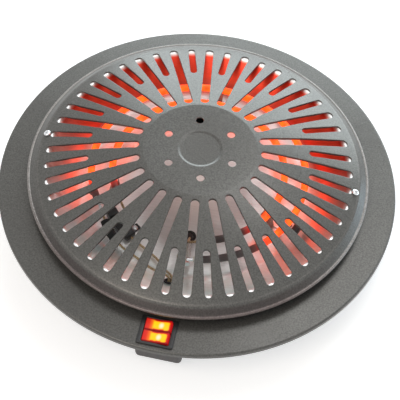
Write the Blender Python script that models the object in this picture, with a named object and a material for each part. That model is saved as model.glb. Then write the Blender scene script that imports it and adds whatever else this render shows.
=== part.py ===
"""Electric brazier: a round table heater with two heating rings under a slotted, pressed guard.

Metres, +Z up. The brazier stands at z = 0 on four feet, its axis is the z axis and its switch is at the
front, toward -Y. The guard, the reflector, the rim plate and the base pan are four pressings whose lips
nest on one sloped land and are clamped there by the two guard screws.
"""
import math

import bmesh
import bpy
from mathutils import Matrix, Vector

# Sheets and clearances
STEEL_SHEET = 0.0010
ALUMINIUM_SHEET = 0.0008
GAP = 0.0003
OVERRUN = 0.0030
BORE_CLEARANCE = 0.0003

# Switch: one bezel holds two rockers that lie side by side across the flange
BEZEL_LENGTH = 0.0322
BEZEL_WIDTH = 0.0271
BEZEL_HEIGHT = 0.0020
BEZEL_SIDE = 0.0040
BEZEL_END = 0.0022
BEZEL_CORNER = 0.0016
BEZEL_EDGE = 0.0006
HOUSING_WALL = 0.0012
HOUSING_COLLAR = 0.0094
HOUSING_WAIST = 0.0020
HOUSING_DEPTH = 0.0190
HOUSING_CORNER = 0.0008
WELL_DEPTH = 0.0098
ROCKER_SPACE = 0.0004
ROCKER_WALL = 0.0010
ROCKER_SKIRT = 0.0042
ROCKER_VALLEY = 0.0001
ROCKER_TILT = math.radians(7)
PIVOT_DEPTH = 0.0024
PIVOT_PIN_RADIUS = 0.0009
RUNNING_CLEARANCE = 0.0001
LAMP_RADIUS = 0.0016
LAMP_LENGTH = 0.0066
LAMP_OFFSET = 0.0040
TAB_WIDTH = 0.0048
TAB_THICKNESS = 0.0008
TAB_LENGTH = 0.0062
TAB_SEAT = 0.0020
TAB_PITCH = 0.0080

# Rim plate
RIM_RADIUS = 0.1900
RIM_LIP = 0.0050
RIM_BEND = 0.0020
SWITCH_OUTER_MARGIN = 0.0045
SWITCH_INNER_MARGIN = 0.0039
COLLAR_LEAN = 0.0020
COLLAR_BEND = 0.0020
LAND_WIDTH = 0.0075
SHOULDER_HEIGHT = 0.0185

# Guard
GUARD_RISE = 0.0420
DOME_CROWN = 0.0017
DISC_RADIUS = 0.0530
DISC_BEND = 0.0060
SHOULDER_BEND = 0.0040
GUARD_OVERHANG = 0.0072
BEAD_RADIUS = 0.0016
BEAD_HEIGHT = 0.0118
RECESS_RADIUS = 0.0208
RECESS_DEPTH = 0.0008
RECESS_SLOPE = 0.0022
SLOT_PAIRS = 24
LONG_SLOT_WIDTH = 0.0078
SHORT_SLOT_WIDTH = 0.0065
SLOT_LAND_REACH = 0.0005
LONG_SLOT_INSET = 0.0037
SHORT_SLOT_LENGTH = 0.0421
CENTRE_HOLES = 6
CENTRE_HOLE_RADIUS = 0.0038
CENTRE_HOLE_CIRCLE = 0.0337
CENTRE_HOLE_TURN = math.radians(12.2)

# Heating rings: each is open at the front and ends in a bush and a pin
TUBE_RADIUS = 0.0034
RING_MARGIN = 0.0434
RING_SPACING = 0.0199
RING_HEIGHT = 0.0118
OUTER_RING_ENDS = (math.radians(-77), math.radians(213))
INNER_RING_ENDS = (math.radians(-70), math.radians(212))
BUSH_RADIUS = 0.0030
BUSH_LENGTH = 0.0070
PIN_RADIUS = 0.0013
PIN_LENGTH = 0.0130

# Reflector
FLOOR_DEPTH = 0.0080
FLOOR_MARGIN = 0.0074
WALL_BEND = 0.0030
FLOOR_BEND = 0.0120
TOOLING_HOLE_RADIUS = 0.0050
TOOLING_HOLE_INSET = 0.0057
TOOLING_HOLE_ANGLE = math.radians(100)

# Ring clips: one strip under both rings, riveted to the reflector's floor between them
CLIP_ANGLES = (math.radians(-27), math.radians(90), math.radians(207))
CLIP_WIDTH = 0.0090
CLIP_SHEET = 0.0008
CLIP_HOOK = 0.0020
CLIP_CLEARANCE = 0.0006
CLIP_FOOT = 0.0090
RIVET_RADIUS = 0.0014
RIVET_HEAD_RADIUS = 0.0028
RIVET_HEAD_HEIGHT = 0.0012

# Thermal cut-out on the reflector's floor, midway between the two rings
CUTOUT_ANGLE = math.radians(-128)
CUTOUT_LENGTH = 0.0260
CUTOUT_WIDTH = 0.0110
CUTOUT_HEIGHT = 0.0066
CUTOUT_EDGE = 0.0010
CUTOUT_LUG_LENGTH = 0.0080
CUTOUT_LUG_WIDTH = 0.0070
CUTOUT_LUG_OFFSET = 0.0060
CUTOUT_LEAD_OFFSET = 0.0060

# Base pan and feet
PAN_DEPTH = 0.0360
PAN_TAPER = 0.0060
PAN_CORNER = 0.0080
PAN_STEP = 0.0030
PAN_STEP_RUN = 0.0040
PAN_LIP = 0.0089
FOOT_HEIGHT = 0.0100
FOOT_RADIUS = 0.0090
FOOT_TAPER = 0.0012
FOOT_RING_MARGIN = 0.0230
FOOT_RECESS_RADIUS = 0.0046
FOOT_RECESS_DEPTH = 0.0055
FOOT_ANGLES = [math.radians(a) for a in (45, 135, 225, 315)]

# Screws and nuts
SCREW_RADIUS = 0.0017
SCREW_HEAD_RADIUS = 0.0033
SCREW_HEAD_HEIGHT = 0.0022
SCREW_CROSS_LENGTH = 0.0034
SCREW_CROSS_WIDTH = 0.0007
SCREW_CROSS_DEPTH = 0.0010
SCREW_LAND_SHARE = 0.45
NUT_WIDTH = 0.0055
NUT_HEIGHT = 0.0024

# Switch box under the flange
BOX_LEFT = 0.0178
BOX_RIGHT = 0.0240
BOX_TAB_SPACE = 0.0041
BOX_RIM_MARGIN = 0.0034
BOX_DRAFT = 0.0028
BOX_WALL = 0.0010
BOX_CORNER = 0.0042
BOX_PAN_SPACE = 0.0030
BOX_LEAD_HOLE = 0.0065
BOX_LEAD_HOLE_DROP = 0.0025
EAR_LENGTH = 0.0110
EAR_WIDTH = 0.0120
EAR_CORNER = 0.0035
STUD_RADIUS = 0.0015
STUD_LENGTH = 0.0070
GLAND_BORE = 0.0037
GLAND_WALL = 0.0016
GLAND_LIP = 0.0016
GLAND_FLANGE = 0.0016
GLAND_NOSE = 0.0070
GLAND_DROP = 0.0150

# Grommets
GROMMET_LIP = 0.0013
GROMMET_WALL = 0.0012
GROMMET_THICKNESS = 0.0012
PAN_GROMMET_BORE = 0.0042
FLOOR_GROMMET_BORE = 0.0036
FLOOR_GROMMET_INSET = 0.0162
FLOOR_GROMMET_ANGLE = math.radians(-85)
WALL_GROMMET_BORE = 0.0034
WALL_GROMMET_SHARE = 0.42
PAN_GROMMET_DROP = 0.0140

# Leads: each runs from a pin or the cut-out through a grommet of the reflector and the pan's grommet to a tab
LEAD_RADIUS = 0.0013
LEAD_LANE = 0.0016
LEAD_DIAGONAL = 0.0012
LEAD_STRAIGHT = 0.0040
TAB_LEAD_DROP = 0.0225

# Facets: round pressings have one column for each slot
COLUMNS = 2 * SLOT_PAIRS
PAN_COLUMNS = 32
SMALL_SIDES = 12
HIDDEN_SIDES = 8
SLOT_END_STEPS = 3
CORNER_STEPS = 2
RING_STEPS = 30
ELEMENT_BEVEL_STEPS = 2
LEAD_BEVEL_STEPS = 1
LEAD_STEPS = 2
BEND_TOLERANCE = 0.0006
BEAD_STEPS = 5
ROCKER_END_STEPS = 3
SMOOTH_ANGLE = math.radians(35)

# Places that follow from the sizes above
FLANGE_Z = FOOT_HEIGHT + PAN_DEPTH
COLLAR_RADIUS = RIM_RADIUS - SWITCH_OUTER_MARGIN - BEZEL_WIDTH - SWITCH_INNER_MARGIN
LAND_OUTER = COLLAR_RADIUS - COLLAR_LEAN
LAND_INNER = LAND_OUTER - LAND_WIDTH
DISC_Z = FLANGE_Z + GUARD_RISE
SLOT_OUTER = LAND_INNER + SLOT_LAND_REACH
OUTER_RING_RADIUS = LAND_INNER - RING_MARGIN
INNER_RING_RADIUS = OUTER_RING_RADIUS - RING_SPACING
MIDDLE_RADIUS = (OUTER_RING_RADIUS + INNER_RING_RADIUS) / 2
TOOLING_HOLE_PLACE = (INNER_RING_RADIUS - TOOLING_HOLE_INSET, TOOLING_HOLE_ANGLE)
FLOOR_GROMMET_PLACE = (INNER_RING_RADIUS - FLOOR_GROMMET_INSET, FLOOR_GROMMET_ANGLE)
RING_Z = FLANGE_Z + RING_HEIGHT
FLOOR_Z = FLANGE_Z - FLOOR_DEPTH
FLOOR_RADIUS = OUTER_RING_RADIUS + FLOOR_MARGIN
PAN_FLOOR_Z = FOOT_HEIGHT + STEEL_SHEET
UNDER_FLANGE_Z = FLANGE_Z - STEEL_SHEET
SWITCH_Y = -(RIM_RADIUS - SWITCH_OUTER_MARGIN - BEZEL_WIDTH / 2)
SWITCH_TOP_Z = FLANGE_Z + BEZEL_HEIGHT
PIVOT_Z = SWITCH_TOP_Z - PIVOT_DEPTH
PAN_GROMMET_Z = FLANGE_Z - PAN_GROMMET_DROP
TAB_LEAD_Z = FLANGE_Z - TAB_LEAD_DROP
WELL_LENGTH = BEZEL_LENGTH - 2 * BEZEL_SIDE
WELL_WIDTH = BEZEL_WIDTH - 2 * BEZEL_END
BODY_LENGTH = WELL_LENGTH + 2 * HOUSING_WALL
BODY_WIDTH = WELL_WIDTH + 2 * HOUSING_WALL
HOUSING_BOTTOM_Z = FLANGE_Z - HOUSING_DEPTH
BOX_BOTTOM_Z = HOUSING_BOTTOM_Z - TAB_LENGTH - BOX_TAB_SPACE - BOX_WALL
BOX_DEPTH = UNDER_FLANGE_Z - GAP - BOX_BOTTOM_Z
ROCKER_WIDTH = (WELL_WIDTH - ROCKER_SPACE - 2 * GAP) / 2
ROCKER_ROW = (ROCKER_WIDTH + ROCKER_SPACE) / 2


def clear_scene():
    for obj in list(bpy.data.objects):
        bpy.data.objects.remove(obj, do_unlink=True)


def material(name, color, roughness, metallic):
    mat = bpy.data.materials.new(name)
    mat.use_nodes = True
    shader = mat.node_tree.nodes["Principled BSDF"]
    shader.inputs["Base Color"].default_value = (*color, 1.0)
    shader.inputs["Roughness"].default_value = roughness
    shader.inputs["Metallic"].default_value = metallic
    mat.diffuse_color = (*color, 1.0)
    return mat


FINISHES = {
    "graphite": ((0.13, 0.13, 0.12), 0.42, 0.3),
    "polished": ((0.86, 0.86, 0.87), 0.16, 1.0),
    "galvanised": ((0.52, 0.54, 0.55), 0.45, 0.9),
    "zinc": ((0.70, 0.71, 0.72), 0.28, 1.0),
    "glowing": ((0.95, 0.22, 0.05), 0.50, 0.0),
    "ceramic": ((0.85, 0.82, 0.76), 0.60, 0.0),
    "black": ((0.02, 0.02, 0.02), 0.45, 0.0),
    "rubber": ((0.03, 0.03, 0.03), 0.80, 0.0),
    "red": ((0.80, 0.05, 0.03), 0.20, 0.0),
    "lamp": ((1.0, 0.75, 0.30), 0.20, 0.0),
    "brass": ((0.72, 0.55, 0.25), 0.30, 1.0),
    "sleeve": ((0.45, 0.28, 0.12), 0.70, 0.0),
}


def finish_object(name, data, finish):
    obj = bpy.data.objects.new(name, data)
    bpy.context.collection.objects.link(obj)
    color, roughness, metallic = FINISHES[finish]
    obj.data.materials.append(material(name, color, roughness, metallic))
    return obj


def mesh_object(name, bm, finish):
    """Turns a closed bmesh into an object, facing outward and smooth where its faces nearly meet flat."""
    bmesh.ops.recalc_face_normals(bm, faces=bm.faces)
    mesh = bpy.data.meshes.new(name)
    bm.to_mesh(mesh)
    bm.free()
    mesh.shade_smooth()
    mesh.set_sharp_from_angle(angle=SMOOTH_ANGLE)
    return finish_object(name, mesh, finish)


def hide_cutter(obj):
    obj.hide_render = True
    obj.display_type = "WIRE"


def cut(target, cutter, operation="DIFFERENCE"):
    """Boolean between two objects: the cutter stays in the file as a hidden guide."""
    hide_cutter(cutter)
    modifier = target.modifiers.new(cutter.name, "BOOLEAN")
    modifier.operation = operation
    modifier.solver = "EXACT"
    modifier.object = cutter


# Profiles

def rounded(corners):
    """Replaces each corner (r, z, bend) of an open line by an arc that touches both of its sides.

    An arc has as few chords as keep within the bend tolerance.
    """
    line = []
    for i, (r, z, bend) in enumerate(corners):
        here = Vector((r, z))
        if i in (0, len(corners) - 1) or bend == 0:
            line.append(here)
            continue
        back = Vector(corners[i - 1][:2]) - here
        ahead = Vector(corners[i + 1][:2]) - here
        angle = back.angle(ahead)
        reach = min(bend / math.tan(angle / 2), back.length / 2, ahead.length / 2)
        radius = reach * math.tan(angle / 2)
        back.normalize()
        ahead.normalize()
        centre = here + (back + ahead).normalized() * radius / math.sin(angle / 2)
        start = (here + back * reach - centre).normalized()
        end = (here + ahead * reach - centre).normalized()
        turn = math.pi - angle
        steps = max(1, math.ceil(turn / 2 / math.acos(max(0, 1 - BEND_TOLERANCE / radius))))
        line += [centre + start.slerp(end, k / steps) * radius for k in range(steps + 1)]
    return line


def moved_aside(line, distance):
    """The line moved to its right by a distance, mitred at its corners."""
    moved = []
    for i, point in enumerate(line):
        sides = []
        if i > 0:
            sides.append((point - line[i - 1]).normalized())
        if i < len(line) - 1:
            sides.append((line[i + 1] - point).normalized())
        normals = [Vector((side.y, -side.x)) for side in sides]
        if len(normals) == 1:
            moved.append(point + normals[0] * distance)
        else:
            total = normals[0] + normals[1]
            moved.append(point + total * distance / (1 + normals[0].dot(normals[1])))
    return moved


def sheet_section(face, thickness):
    """The closed section of a sheet whose shown face is the line, with its metal on the line's right."""
    return face + moved_aside(face, thickness)[::-1]


def lathe(section, columns):
    """Turns a closed section of (r, z) points round the z axis. A point on the axis is one vertex."""
    bm = bmesh.new()
    rings = []
    for r, z in section:
        count = 1 if r < GAP else columns
        angles = [math.tau * (k + 0.5) / count for k in range(count)]
        rings.append([bm.verts.new((0, 0, z) if count == 1 else (r * math.cos(a), r * math.sin(a), z))
                      for a in angles])
    for ring, following in zip(rings, rings[1:] + rings[:1]):
        join_rings(bm, ring, following)
    return bm


def join_rings(bm, ring, following):
    """Fills the band between two rings of equally many vertices, either of which may be one vertex."""
    n, m = len(ring), len(following)
    for k in range(max(n, m)):
        j = (k + 1) % max(n, m)
        if n == m and n > 1:
            bm.faces.new((ring[k], ring[j], following[j], following[k]))
        elif n < m:
            bm.faces.new((ring[0], following[j], following[k]))
        elif m < n:
            bm.faces.new((ring[k], ring[j], following[0]))


def turned(name, section, finish, columns=SMALL_SIDES, frame=None):
    """A turned piece; frame, where given, carries its axis to its place."""
    bm = lathe(section, columns)
    if frame:
        bmesh.ops.transform(bm, matrix=frame, verts=bm.verts)
    return mesh_object(name, bm, finish)


def prism(outline, low, high):
    """An upright prism over a plan outline of (x, y) points."""
    bm = bmesh.new()
    bottom = [bm.verts.new((x, y, low)) for x, y in outline]
    top = [bm.verts.new((x, y, high)) for x, y in outline]
    bm.faces.new(bottom[::-1])
    bm.faces.new(top)
    for i in range(len(outline)):
        j = (i + 1) % len(outline)
        bm.faces.new((bottom[i], bottom[j], top[j], top[i]))
    return bm


def block(size, centre, edge=0):
    """A box of a given size about a centre, with its edges chamfered where an edge width is given."""
    bm = bmesh.new()
    bmesh.ops.create_cube(bm, size=1.0)
    bmesh.ops.transform(bm, matrix=Matrix.Translation(centre) @ Matrix.Diagonal((*size, 1.0)), verts=bm.verts)
    if edge > 0:
        bmesh.ops.bevel(bm, geom=bm.edges[:], offset=edge, segments=1, affect="EDGES")
    return bm


def joined(*parts):
    """Puts several bmeshes into the first one, as separate bodies."""
    whole = parts[0]
    for part in parts[1:]:
        mesh = bpy.data.meshes.new("joined")
        part.to_mesh(mesh)
        part.free()
        whole.from_mesh(mesh)
        bpy.data.meshes.remove(mesh)
    return whole


def placed(bm, frame):
    bmesh.ops.transform(bm, matrix=frame, verts=bm.verts)
    return bm


def around(angle):
    return Matrix.Rotation(angle, 4, "Z")


def polar(radius, angle, z):
    return Vector((radius * math.cos(angle), radius * math.sin(angle), z))


def axis_frame(point, direction):
    """Carries the z axis onto a line through a point along a direction."""
    return Matrix.Translation(point) @ Vector((0, 0, 1)).rotation_difference(direction).to_matrix().to_4x4()


def rod(radius, length, point, direction, sides=HIDDEN_SIDES):
    """A cylinder that starts at a point and runs along a direction."""
    section = [(0, 0), (radius, 0), (radius, length), (0, length)]
    return placed(lathe(section, sides), axis_frame(point, direction))


# The land: one sloped band on which the lips of all four pressings nest

def dome_height(radius):
    """Height of the guard's face: a straight fall from the disc to the land, raised by a crown between."""
    share = (radius - DISC_RADIUS) / (LAND_OUTER - DISC_RADIUS)
    fall = GUARD_RISE - SHOULDER_HEIGHT
    return DISC_Z - fall * share + 4 * DOME_CROWN * share * (1 - share)


def land_point(share, depth):
    """A point across the land, so deep under the guard's face. Share 0 is its inner edge, 1 its outer."""
    inner = Vector((LAND_INNER, dome_height(LAND_INNER)))
    outer = Vector((LAND_OUTER, dome_height(LAND_OUTER)))
    along = (outer - inner).normalized()
    return inner + (outer - inner) * share + Vector((along.y, -along.x)) * depth


REFLECTOR_DEPTH = STEEL_SHEET + GAP
LEDGE_DEPTH = REFLECTOR_DEPTH + ALUMINIUM_SHEET + GAP
PAN_LIP_DEPTH = LEDGE_DEPTH + STEEL_SHEET + GAP
NUT_DEPTH = PAN_LIP_DEPTH + STEEL_SHEET + GAP
GUARD_RADIUS = COLLAR_RADIUS + GUARD_OVERHANG


# Guard

def guard_section():
    """The disc with its recess, the dome, the land and the skirt, ending in a wired edge."""
    face = [Vector((0, DISC_Z - RECESS_DEPTH)), Vector((RECESS_RADIUS - RECESS_SLOPE, DISC_Z - RECESS_DEPTH)),
            Vector((RECESS_RADIUS, DISC_Z))]
    crown = (DISC_RADIUS + LAND_INNER) / 2
    corners = [(RECESS_RADIUS, DISC_Z, 0), (DISC_RADIUS, DISC_Z, DISC_BEND), (crown, dome_height(crown), 0)]
    corners += [(*land_point(0, 0), 0), (*land_point(1, 0), SHOULDER_BEND)]
    bead = Vector((GUARD_RADIUS - BEAD_RADIUS, FLANGE_Z + BEAD_HEIGHT))
    corners.append((*bead, 0))
    face += rounded(corners)[1:]
    middle = moved_aside(face, STEEL_SHEET / 2)
    middle[-1] = bead
    upper = moved_aside(middle, -STEEL_SHEET / 2)
    lower = moved_aside(middle, STEEL_SHEET / 2)
    back = middle[-2] - bead
    start = math.atan2(back.y, back.x)
    half = math.asin(STEEL_SHEET / 2 / BEAD_RADIUS)
    edge = []
    for k in range(BEAD_STEPS + 1):
        angle = start - half - (math.tau - 2 * half) * k / BEAD_STEPS
        edge.append(bead + Vector((math.cos(angle), math.sin(angle))) * BEAD_RADIUS)
    return upper[:-1] + edge + lower[-2::-1]


def slot_outline(inner, outer, width, angle):
    """A slot with round ends between two radii, along a line at an angle."""
    half = width / 2
    points = []
    for centre, start in ((outer - half, -math.pi / 2), (inner + half, math.pi / 2)):
        for k in range(SLOT_END_STEPS + 1):
            turn = start + math.pi * k / SLOT_END_STEPS
            points.append(around(angle) @ Vector((centre + half * math.cos(turn), half * math.sin(turn), 0)))
    return [(p.x, p.y) for p in points]


def make_guard():
    guard = turned("guard", guard_section(), "graphite", COLUMNS)
    pitch = math.tau / SLOT_PAIRS
    low, high = FLANGE_Z, DISC_Z + OVERRUN
    cutters = []
    for k in range(SLOT_PAIRS):
        long_slot = slot_outline(DISC_RADIUS + LONG_SLOT_INSET, SLOT_OUTER, LONG_SLOT_WIDTH, (k + 0.5) * pitch)
        short_slot = slot_outline(SLOT_OUTER - SHORT_SLOT_LENGTH, SLOT_OUTER, SHORT_SLOT_WIDTH, k * pitch)
        cutters += [prism(long_slot, low, high), prism(short_slot, low, high)]
    for k in range(CENTRE_HOLES):
        angle = math.pi / 2 + CENTRE_HOLE_TURN + math.tau * k / CENTRE_HOLES
        foot = polar(CENTRE_HOLE_CIRCLE, angle, low)
        cutters.append(rod(CENTRE_HOLE_RADIUS, high - low, foot, Vector((0, 0, 1)), SMALL_SIDES))
    for side in (0, math.pi):
        cutters.append(land_drill(SCREW_RADIUS + BORE_CLEARANCE, side))
    cut(guard, mesh_object("guard_cutter", joined(*cutters), "graphite"))


# Screws on the land

def land_frame(side, depth=0.0):
    """A frame whose z axis is the land's outward normal at the guard screw of one side."""
    point = land_point(SCREW_LAND_SHARE, depth)
    above = land_point(SCREW_LAND_SHARE, depth - GAP)
    normal = (above - point).normalized()
    return around(side) @ axis_frame(Vector((point.x, 0, point.y)), Vector((normal.x, 0, normal.y)))


def land_drill(radius, side):
    reach = NUT_DEPTH + OVERRUN
    bm = lathe([(0, -reach), (radius, -reach), (radius, OVERRUN), (0, OVERRUN)], HIDDEN_SIDES)
    return placed(bm, land_frame(side))


def screw_section(length):
    """A pan-head screw: its head stands on z = 0 and its shank hangs below, with a chamfered tip."""
    shank, head, height = SCREW_RADIUS, SCREW_HEAD_RADIUS, SCREW_HEAD_HEIGHT
    chamfer = shank / 2
    edge_share, dome_share, crown_share = 0.45, 0.7, 0.9
    return [(0, -length), (shank - chamfer, -length), (shank, -length + chamfer), (shank, 0), (head, 0),
            (head, height * edge_share), (head * dome_share, height * crown_share), (0, height)]


def make_crossed_screw(name, length, frame):
    """A pan-head screw with a cross recess in its head."""
    screw = turned(name, screw_section(length), "zinc", frame=frame)
    depth = SCREW_CROSS_DEPTH + OVERRUN
    centre = Vector((0, 0, SCREW_HEAD_HEIGHT - SCREW_CROSS_DEPTH + depth / 2))
    for k, size in enumerate(((SCREW_CROSS_LENGTH, SCREW_CROSS_WIDTH, depth),
                              (SCREW_CROSS_WIDTH, SCREW_CROSS_LENGTH, depth))):
        cutter = placed(block(size, centre), frame)
        cut(screw, mesh_object("%s_cross_%d_cutter" % (name, k), cutter, "zinc"))


def nut_bm(shank, frame):
    """A hexagon nut on z = 0 of its frame, with flats across x, whose six-sided bore clears a round shank."""
    corner = NUT_WIDTH / math.sqrt(3)
    bore = (shank + BORE_CLEARANCE) / math.cos(math.pi / 6)
    return placed(lathe([(corner, 0), (corner, NUT_HEIGHT), (bore, NUT_HEIGHT), (bore, 0)], 6), frame)


def make_guard_screws():
    for name, side in (("right", 0), ("left", math.pi)):
        length = NUT_DEPTH + GAP + NUT_HEIGHT + GAP
        frame = land_frame(side) @ Matrix.Translation((0, 0, GAP))
        make_crossed_screw("guard_screw_" + name, length, frame)
        nut_frame = land_frame(side, NUT_DEPTH) @ Matrix.Translation((0, 0, -NUT_HEIGHT))
        mesh_object("guard_nut_" + name, nut_bm(SCREW_RADIUS, nut_frame), "zinc")


# Rim plate

def switch_opening():
    size = (BODY_LENGTH + 2 * GAP, BODY_WIDTH + 2 * GAP, 2 * (STEEL_SHEET + OVERRUN))
    return block(size, Vector((0, SWITCH_Y, FLANGE_Z)))


def make_rim_plate():
    ledge_inner_share, ledge_outer_share = 0.12, 1.0
    ledge_inner = land_point(ledge_inner_share, LEDGE_DEPTH)
    ledge_outer = land_point(ledge_outer_share, LEDGE_DEPTH)
    corners = [(*ledge_inner, 0), (*ledge_outer, COLLAR_BEND), (COLLAR_RADIUS, FLANGE_Z, COLLAR_BEND),
               (RIM_RADIUS, FLANGE_Z, RIM_BEND), (RIM_RADIUS, FLANGE_Z - RIM_LIP, 0)]
    section = sheet_section(rounded(corners), STEEL_SHEET)
    plate = turned("rim_plate", section, "graphite", COLUMNS)
    cutters = [switch_opening()]
    cutters += [land_drill(SCREW_RADIUS + BORE_CLEARANCE, side) for side in (0, math.pi)]
    cut(plate, mesh_object("rim_plate_cutter", joined(*cutters), "graphite"))


# Base pan

def pan_wall_radius():
    """Radius of the pan's inside face at the top of its wall."""
    return land_point(1, PAN_LIP_DEPTH).x - PAN_LIP


def pan_line():
    """The pan's inside face from its lip to its centre."""
    lip_share = 0.8
    lip = land_point(lip_share, PAN_LIP_DEPTH)
    land_slope = (land_point(1, 0) - land_point(0, 0)).normalized()
    top = pan_wall_radius()
    corner = lip + land_slope * (top - lip.x) / land_slope.x
    bottom = top - PAN_TAPER
    foot_ring = bottom - FOOT_RING_MARGIN
    step = foot_ring - FOOT_RADIUS - 2 * PAN_STEP_RUN
    raised = PAN_FLOOR_Z + PAN_STEP
    return [(*lip, 0), (*corner, COLLAR_BEND), (bottom, PAN_FLOOR_Z, PAN_CORNER),
            (step, PAN_FLOOR_Z, 0), (step - PAN_STEP_RUN, raised, 0), (0, raised, 0)]


def foot_circle():
    return pan_wall_radius() - PAN_TAPER - FOOT_RING_MARGIN


def make_base_pan():
    face = rounded(pan_line())
    section = sheet_section(face, -STEEL_SHEET)
    pan = turned("base_pan", section, "galvanised", PAN_COLUMNS)
    cutters = [land_drill(SCREW_RADIUS + BORE_CLEARANCE, side) for side in (0, math.pi)]
    for angle in FOOT_ANGLES:
        cutters.append(rod(SCREW_RADIUS + BORE_CLEARANCE, 2 * OVERRUN + STEEL_SHEET,
                           polar(foot_circle(), angle, FOOT_HEIGHT - OVERRUN), Vector((0, 0, 1))))
    hole = PAN_GROMMET_BORE + GROMMET_WALL + GAP
    through = 2 * OVERRUN + STEEL_SHEET
    frame = pan_wall_frame(PAN_GROMMET_Z) @ Matrix.Translation((0, 0, -STEEL_SHEET - OVERRUN))
    cutters.append(placed(lathe([(0, 0), (hole, 0), (hole, through), (0, through)], HIDDEN_SIDES), frame))
    cut(pan, mesh_object("base_pan_cutter", joined(*cutters), "galvanised"))


def wall_frame(top, bottom, z, columns):
    """A frame on a straight wall at the front, at a height, with its z axis along the line's left normal.

    The wall's columns have a flat there, which lies inside the true radius.
    """
    along = (bottom - top).normalized()
    normal = Vector((-along.y, along.x))
    point = top + (bottom - top) * (top.y - z) / (top.y - bottom.y)
    flat = Vector((point.x * math.cos(math.pi / columns), 0, point.y))
    return around(-math.pi / 2) @ axis_frame(flat, Vector((normal.x, 0, normal.y)))


def pan_wall_frame(z):
    """A frame on the outside of the pan's wall, with its z axis along the outward normal."""
    top, bottom = (Vector(corner[:2]) for corner in pan_line()[1:3])
    return wall_frame(top, bottom, z, PAN_COLUMNS) @ Matrix.Translation((0, 0, STEEL_SHEET))


# Reflector

def reflector_line():
    """The reflector's shown face from its lip down the wall to the centre of its floor."""
    lip_share, bend_share = 0.92, -0.1
    lip = land_point(lip_share, REFLECTOR_DEPTH)
    bend = land_point(bend_share, REFLECTOR_DEPTH)
    return [(*lip, 0), (*bend, WALL_BEND), (FLOOR_RADIUS, FLOOR_Z, FLOOR_BEND), (0, FLOOR_Z, 0)]


def reflector_wall_frame():
    """A frame on the wall's shown face, where the leads pass, with its z axis along the normal."""
    bend, foot = (Vector(corner[:2]) for corner in reflector_line()[1:3])
    return wall_frame(foot, bend, foot.y + (bend.y - foot.y) * WALL_GROMMET_SHARE, COLUMNS)


def make_reflector():
    face = rounded(reflector_line())
    section = sheet_section(face, -ALUMINIUM_SHEET)
    dish = turned("reflector", section, "polished", COLUMNS)
    through = 2 * OVERRUN + ALUMINIUM_SHEET
    low = FLOOR_Z - ALUMINIUM_SHEET - OVERRUN
    up = Vector((0, 0, 1))
    cutters = [land_drill(SCREW_RADIUS + BORE_CLEARANCE, side) for side in (0, math.pi)]
    for angle in CLIP_ANGLES:
        cutters.append(rod(RIVET_RADIUS + BORE_CLEARANCE, through, polar(MIDDLE_RADIUS, angle, low), up))
    cutters.append(rod(TOOLING_HOLE_RADIUS, through, polar(*TOOLING_HOLE_PLACE, low), up))
    rivet_foot = cutout_rivet_place()
    rivet_foot.z = low
    cutters.append(rod(RIVET_RADIUS + BORE_CLEARANCE, through, rivet_foot, up))
    hole = FLOOR_GROMMET_BORE + GROMMET_WALL + GAP
    cutters.append(rod(hole, through, polar(*FLOOR_GROMMET_PLACE, low), up))
    wall_hole = WALL_GROMMET_BORE + GROMMET_WALL + GAP
    frame = reflector_wall_frame() @ Matrix.Translation((0, 0, -ALUMINIUM_SHEET - OVERRUN))
    drill = lathe([(0, 0), (wall_hole, 0), (wall_hole, through), (0, through)], HIDDEN_SIDES)
    cutters.append(placed(drill, frame))
    cut(dish, mesh_object("reflector_cutter", joined(*cutters), "polished"))


# Heating rings

def tube(name, points, radius, finish, bevel):
    """A round tube along points: a curve with a bevel and filled ends."""
    curve = bpy.data.curves.new(name, "CURVE")
    curve.dimensions = "3D"
    curve.bevel_depth = radius
    curve.bevel_resolution = bevel
    curve.use_fill_caps = True
    spline = curve.splines.new("POLY")
    spline.points.add(len(points) - 1)
    for target, point in zip(spline.points, points):
        target.co = (*point, 1.0)
    return finish_object(name, curve, finish)


RINGS = (("outer", OUTER_RING_RADIUS, OUTER_RING_ENDS), ("inner", INNER_RING_RADIUS, INNER_RING_ENDS))


def ring_end(radius, ends, side):
    """The middle of one end face of a ring, and the direction in which the ring leaves off there."""
    angle = ends[0] if side == "right" else ends[1]
    way = -1 if side == "right" else 1
    return polar(radius, angle, RING_Z), Vector((-math.sin(angle), math.cos(angle), 0)) * way


def make_heating_rings():
    for name, radius, ends in RINGS:
        shares = [k / RING_STEPS for k in range(RING_STEPS + 1)]
        points = [polar(radius, ends[0] + (ends[1] - ends[0]) * share, RING_Z) for share in shares]
        tube("element_" + name, points, TUBE_RADIUS, "glowing", ELEMENT_BEVEL_STEPS)
        for side in ("right", "left"):
            face, way = ring_end(radius, ends, side)
            bore = PIN_RADIUS + BORE_CLEARANCE
            taper_share = 0.85
            tip = BUSH_RADIUS * taper_share
            bush = [(bore, 0), (BUSH_RADIUS, 0), (tip, BUSH_LENGTH), (bore, BUSH_LENGTH)]
            frame = axis_frame(face + way * GAP, way)
            turned("element_%s_bush_%s" % (name, side), bush, "ceramic", HIDDEN_SIDES, frame)
            pin = rod(PIN_RADIUS, PIN_LENGTH, face + way * GAP, way)
            mesh_object("element_%s_pin_%s" % (name, side), pin, "zinc")


def pin_tip(ring, side):
    """Where a lead starts at the end of a pin, and the direction in which it leaves."""
    radius, ends = next((radius, ends) for name, radius, ends in RINGS if name == ring)
    face, way = ring_end(radius, ends, side)
    return face + way * (2 * GAP + PIN_LENGTH), way


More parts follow.
